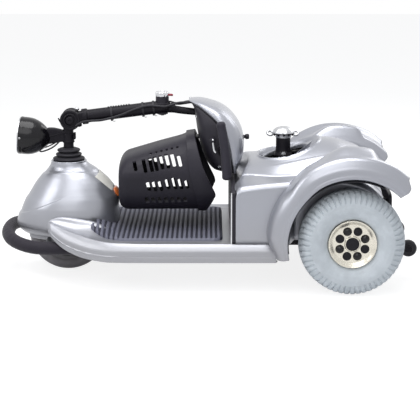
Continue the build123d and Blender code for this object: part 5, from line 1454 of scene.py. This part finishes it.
seatShape = {"eyes": (-161.5, -226.5), "bolts": 10, "boltCircle": 23.6, "scallops": 12, "scallopDepth": 1.6}
postLine = softened([(0, 346), (18.6, 346), (18.6, 330), (19, 318), (20.6, 309), (24, 302.5), (24, 300),
                     (18.4, 299), (18.4, 244), (0, 244)], 1.5, 4)
makePiece("seatPost", [turned(postLine, (seatX, 0, 0), upward, 56)], "seat_swivel", "steel", [], 40)
socket = softened([(19.2, 249), (23.6, 249), (24.4, 247.5), (24.4, 122), (27, 120.4), (27, 119), (19.2, 119)],
                  0.8, 3, True)
socketFoot = uprightBox([(z, seatX, 0, a, b) for z, a, b in
                         ((111.4, 25, 92), (112, 26, 93), (118.4, 26, 93), (119, 25.4, 92))], 10.0)
gussets = [slab((seatX - 2.5, low, 119), (seatX + 2.5, high, 150)) for low, high in ((24, 60), (-60, -24))]
makePiece("seatSocket", [hoop(socket, (seatX, 0, 0), upward, 56), socketFoot] + gussets, "chassis", "steel",
          ["seat_post"], 40)
domeForm = [(0, 374.0, 0), (7, 373.9, 0), (8, 373.2, 0), (9.5, 373.2, 0), (10.5, 373.7, 0), (16, 372.2, 0),
            (21, 369.2, 0.1), (25, 365.6, 0.4), (28, 362.4, 0.8), (29.6, 360.4, 1), (29.8, 358.8, 1),
            (28.6, 357.6, 1), (26, 357.0, 0.6), (22, 356.6, 0), (20.4, 352, 0), (20, 346.4, 0), (0, 346.4, 0)]
wave = 0.5 + 0.5 * np.cos(circle(144) * seatShape["scallops"])
seatParts = [scalloped(domeForm, seatX, seatShape["scallopDepth"] * wave)]
ring = [(7.2 + 3.2 * math.cos(q), 3.2 * math.sin(q)) for q in circle(16)]
for eyeX, way in zip(seatShape["eyes"], (1, -1)):
    seatParts.append(hoop(ring, (eyeX, 2, 357.6), (-0.1 * way, 0.62, 0.78), 40))
    tab = [(eyeX - way * reach, 0, 357.0, a, b) for reach, a, b in ((5, 4.4, 2.2), (8, 6, 2.4), (14, 9, 2.4))]
    seatParts.append(boxed(tab[::-way], 4.0))
makePiece("seatPlate", seatParts, "seat_swivel", "plate", ["seat_plate"], 35)
heads, reach = [], seatShape["boltCircle"]
for k in range(seatShape["bolts"]):
    angle = 2 * math.pi * (k + 0.5) / seatShape["bolts"]
    heads += hexNut((seatX + reach * math.cos(angle), reach * math.sin(angle), 357.4), (0, 0, -1),
                    3.0, 4.4, 2.0)
makePiece("seatPlateBolts", heads, "seat_swivel", "steel", [], 35)
crossBolt = []
for sign in (1, -1):
    crossBolt += hexNut((seatX, sign * 17.8, 306), (0, sign, 0), 6.4, 4.6, 2.6)
crossBolt.append(hoop([(6.2, 17.6), (9.4, 17.6), (9.4, 18.8), (6.2, 18.8)], (seatX, 0, 306), sideways, 32))
makePiece("seatCrossBolt", crossBolt, "seat_swivel", "plate", [], 30)
print("seat post and plate")

# Front trim plate with louvres and a bright chrome strip down each edge, partly the plate's bright edge and
# partly a stand-in for the highlight along it

panelForm = {"back": -69.6, "face": -58.6, "half": 231.4, "low": 118.6, "high": 251.6,
             "louvres": (140, 236, 12), "strip": (226.5, 232.2)}
middle, tall = (panelForm["low"] + panelForm["high"]) / 2, (panelForm["high"] - panelForm["low"]) / 2
back, front, half = panelForm["back"], panelForm["face"], panelForm["half"]
trim = [boxed([(x, 0, middle, half - inset, tall - inset) for x, inset in
               ((back, 1), (back + 1, 0), (front - 1, 0), (front, 1.2))], 26.0, 240)]
trim += [slab((-60.2, -168, z - 2.2), (-57.8, 168, z + 2.2)) for z in np.arange(*panelForm["louvres"])]
makePiece("frontTrim", trim, "chassis", "plastic", ["front_panel"], 35)
# chrome strip down each side of the plate: partly the plate's bright edge, partly a stand-in for the
# highlight along that edge
near, far = panelForm["strip"]
strips = [slab((-61.0, low, 119), (-57.8, high, 248)) for low, high in ((near, far), (-far, -near))]
makePiece("frontTrimStrips", strips, "chassis", "chrome", [], 35)

# Tail: black panel with louvres, stays, and the two small wheels on their arms

tailForm = {"middle": 181.5, "louvres": (146, 222, 11), "screws": (150, 142, 220)}
tail = [boxed([(x, 0, tailForm["middle"], a, b) for x, a, b in
               ((-455.8, 166, 51), (-454.6, 169, 53), (-447.4, 169.6, 53.2), (-446.2, 168, 52.4))], 9.0, 160)]
tail += [slab((-455.9, -128, z - 2), (-453.6, 128, z + 2)) for z in np.arange(*tailForm["louvres"])]
tail += [slab((-448, low, 141), (-432.6, high, 219)) for low, high in ((146.4, 153.6), (-153.6, -146.4))]
makePiece("tailPanel", tail, "chassis", "plastic", ["tail_panel"], 35)
tailScrews = []
aside, low, high = tailForm["screws"]
for y, z in ((aside, low), (aside, high), (-aside, low), (-aside, high)):
    tailScrews += hexNut((-455.0, y, z), (-1, 0, 0), 3.6, 0.7, 0.1)
makePiece("tailScrews", tailScrews, "chassis", "chrome", [], 30)

tipForm = {"x": -508.0, "y": 109.3, "z": 81.0}
tipX, tipY, tipZ = tipForm.values()
cheekSides = [(-516.0, 80.6, 2.0, 1.5), (-515.2, 80.4, 2.9, 4.6), (-512, 80.6, 2.9, 7.2),
              (-508, 81, 2.9, 7.9), (-490, 84, 2.9, 7.0), (-440, 92.6, 2.9, 7.6), (-414, 97, 2.9, 8),
              (-411, 97.4, 2.2, 7.2)]
arms = []
for sign in (1, -1):
    y = sign * tipY
    for out in (-1, 1):
        cheek = y + 13.0 * out
        arms.append(boxed(through([(x, cheek, z, a, b) for x, z, a, b in cheekSides], 40), 7.0))
        arms += hexNut((tipX, cheek + out * 2.8, tipZ), (0, out, 0), 5.6, 1.0, 0.2)
    arms.append(turned([(0, -16), (3.9, -16), (3.9, 16), (0, 16)], (tipX, y, tipZ), sideways, 24))
    arms.append(slab((-437.6, y - 13, 90.4), (-412.4, y + 13, 105.6)))
makePiece("tipArms", arms, "chassis", "steel", ["tip_arms"], 40)
# wheel section (radius, sideways), mirrored from one half
half = [(4.3, -6.6), (8, -6.6), (8.6, -7.6), (10.2, -7.6), (10.8, -6.8), (14.4, -6.8), (15, -7.8),
        (18.6, -7.8), (20.9, -5.4), (20.9, -1.4), (20.2, -0.8)]
tipLine = softened(half + [(r, -out) for r, out in half[::-1]], 0.6, 3, True)
for side, sign in (("left", 1), ("right", -1)):
    makePiece("tipWheel" + side.capitalize(), [hoop(tipLine, (tipX, sign * tipY, tipZ), sideways, 72)],
              "tip_wheel_" + side, "smallWheel", ["tip_wheel_" + side], 35)
print("tail")

# Hook of the basket on the head's front

hook = [slab((14, -20, 346), (30, 20, 352)), slab((29, -20, 346), (40, 20, 350.5)),
        slab((37.4, -20, 348), (40.4, 20, 357))]
makePiece("basketHook", hook, "tiller", "sheath", ["basket_hook"], 40)

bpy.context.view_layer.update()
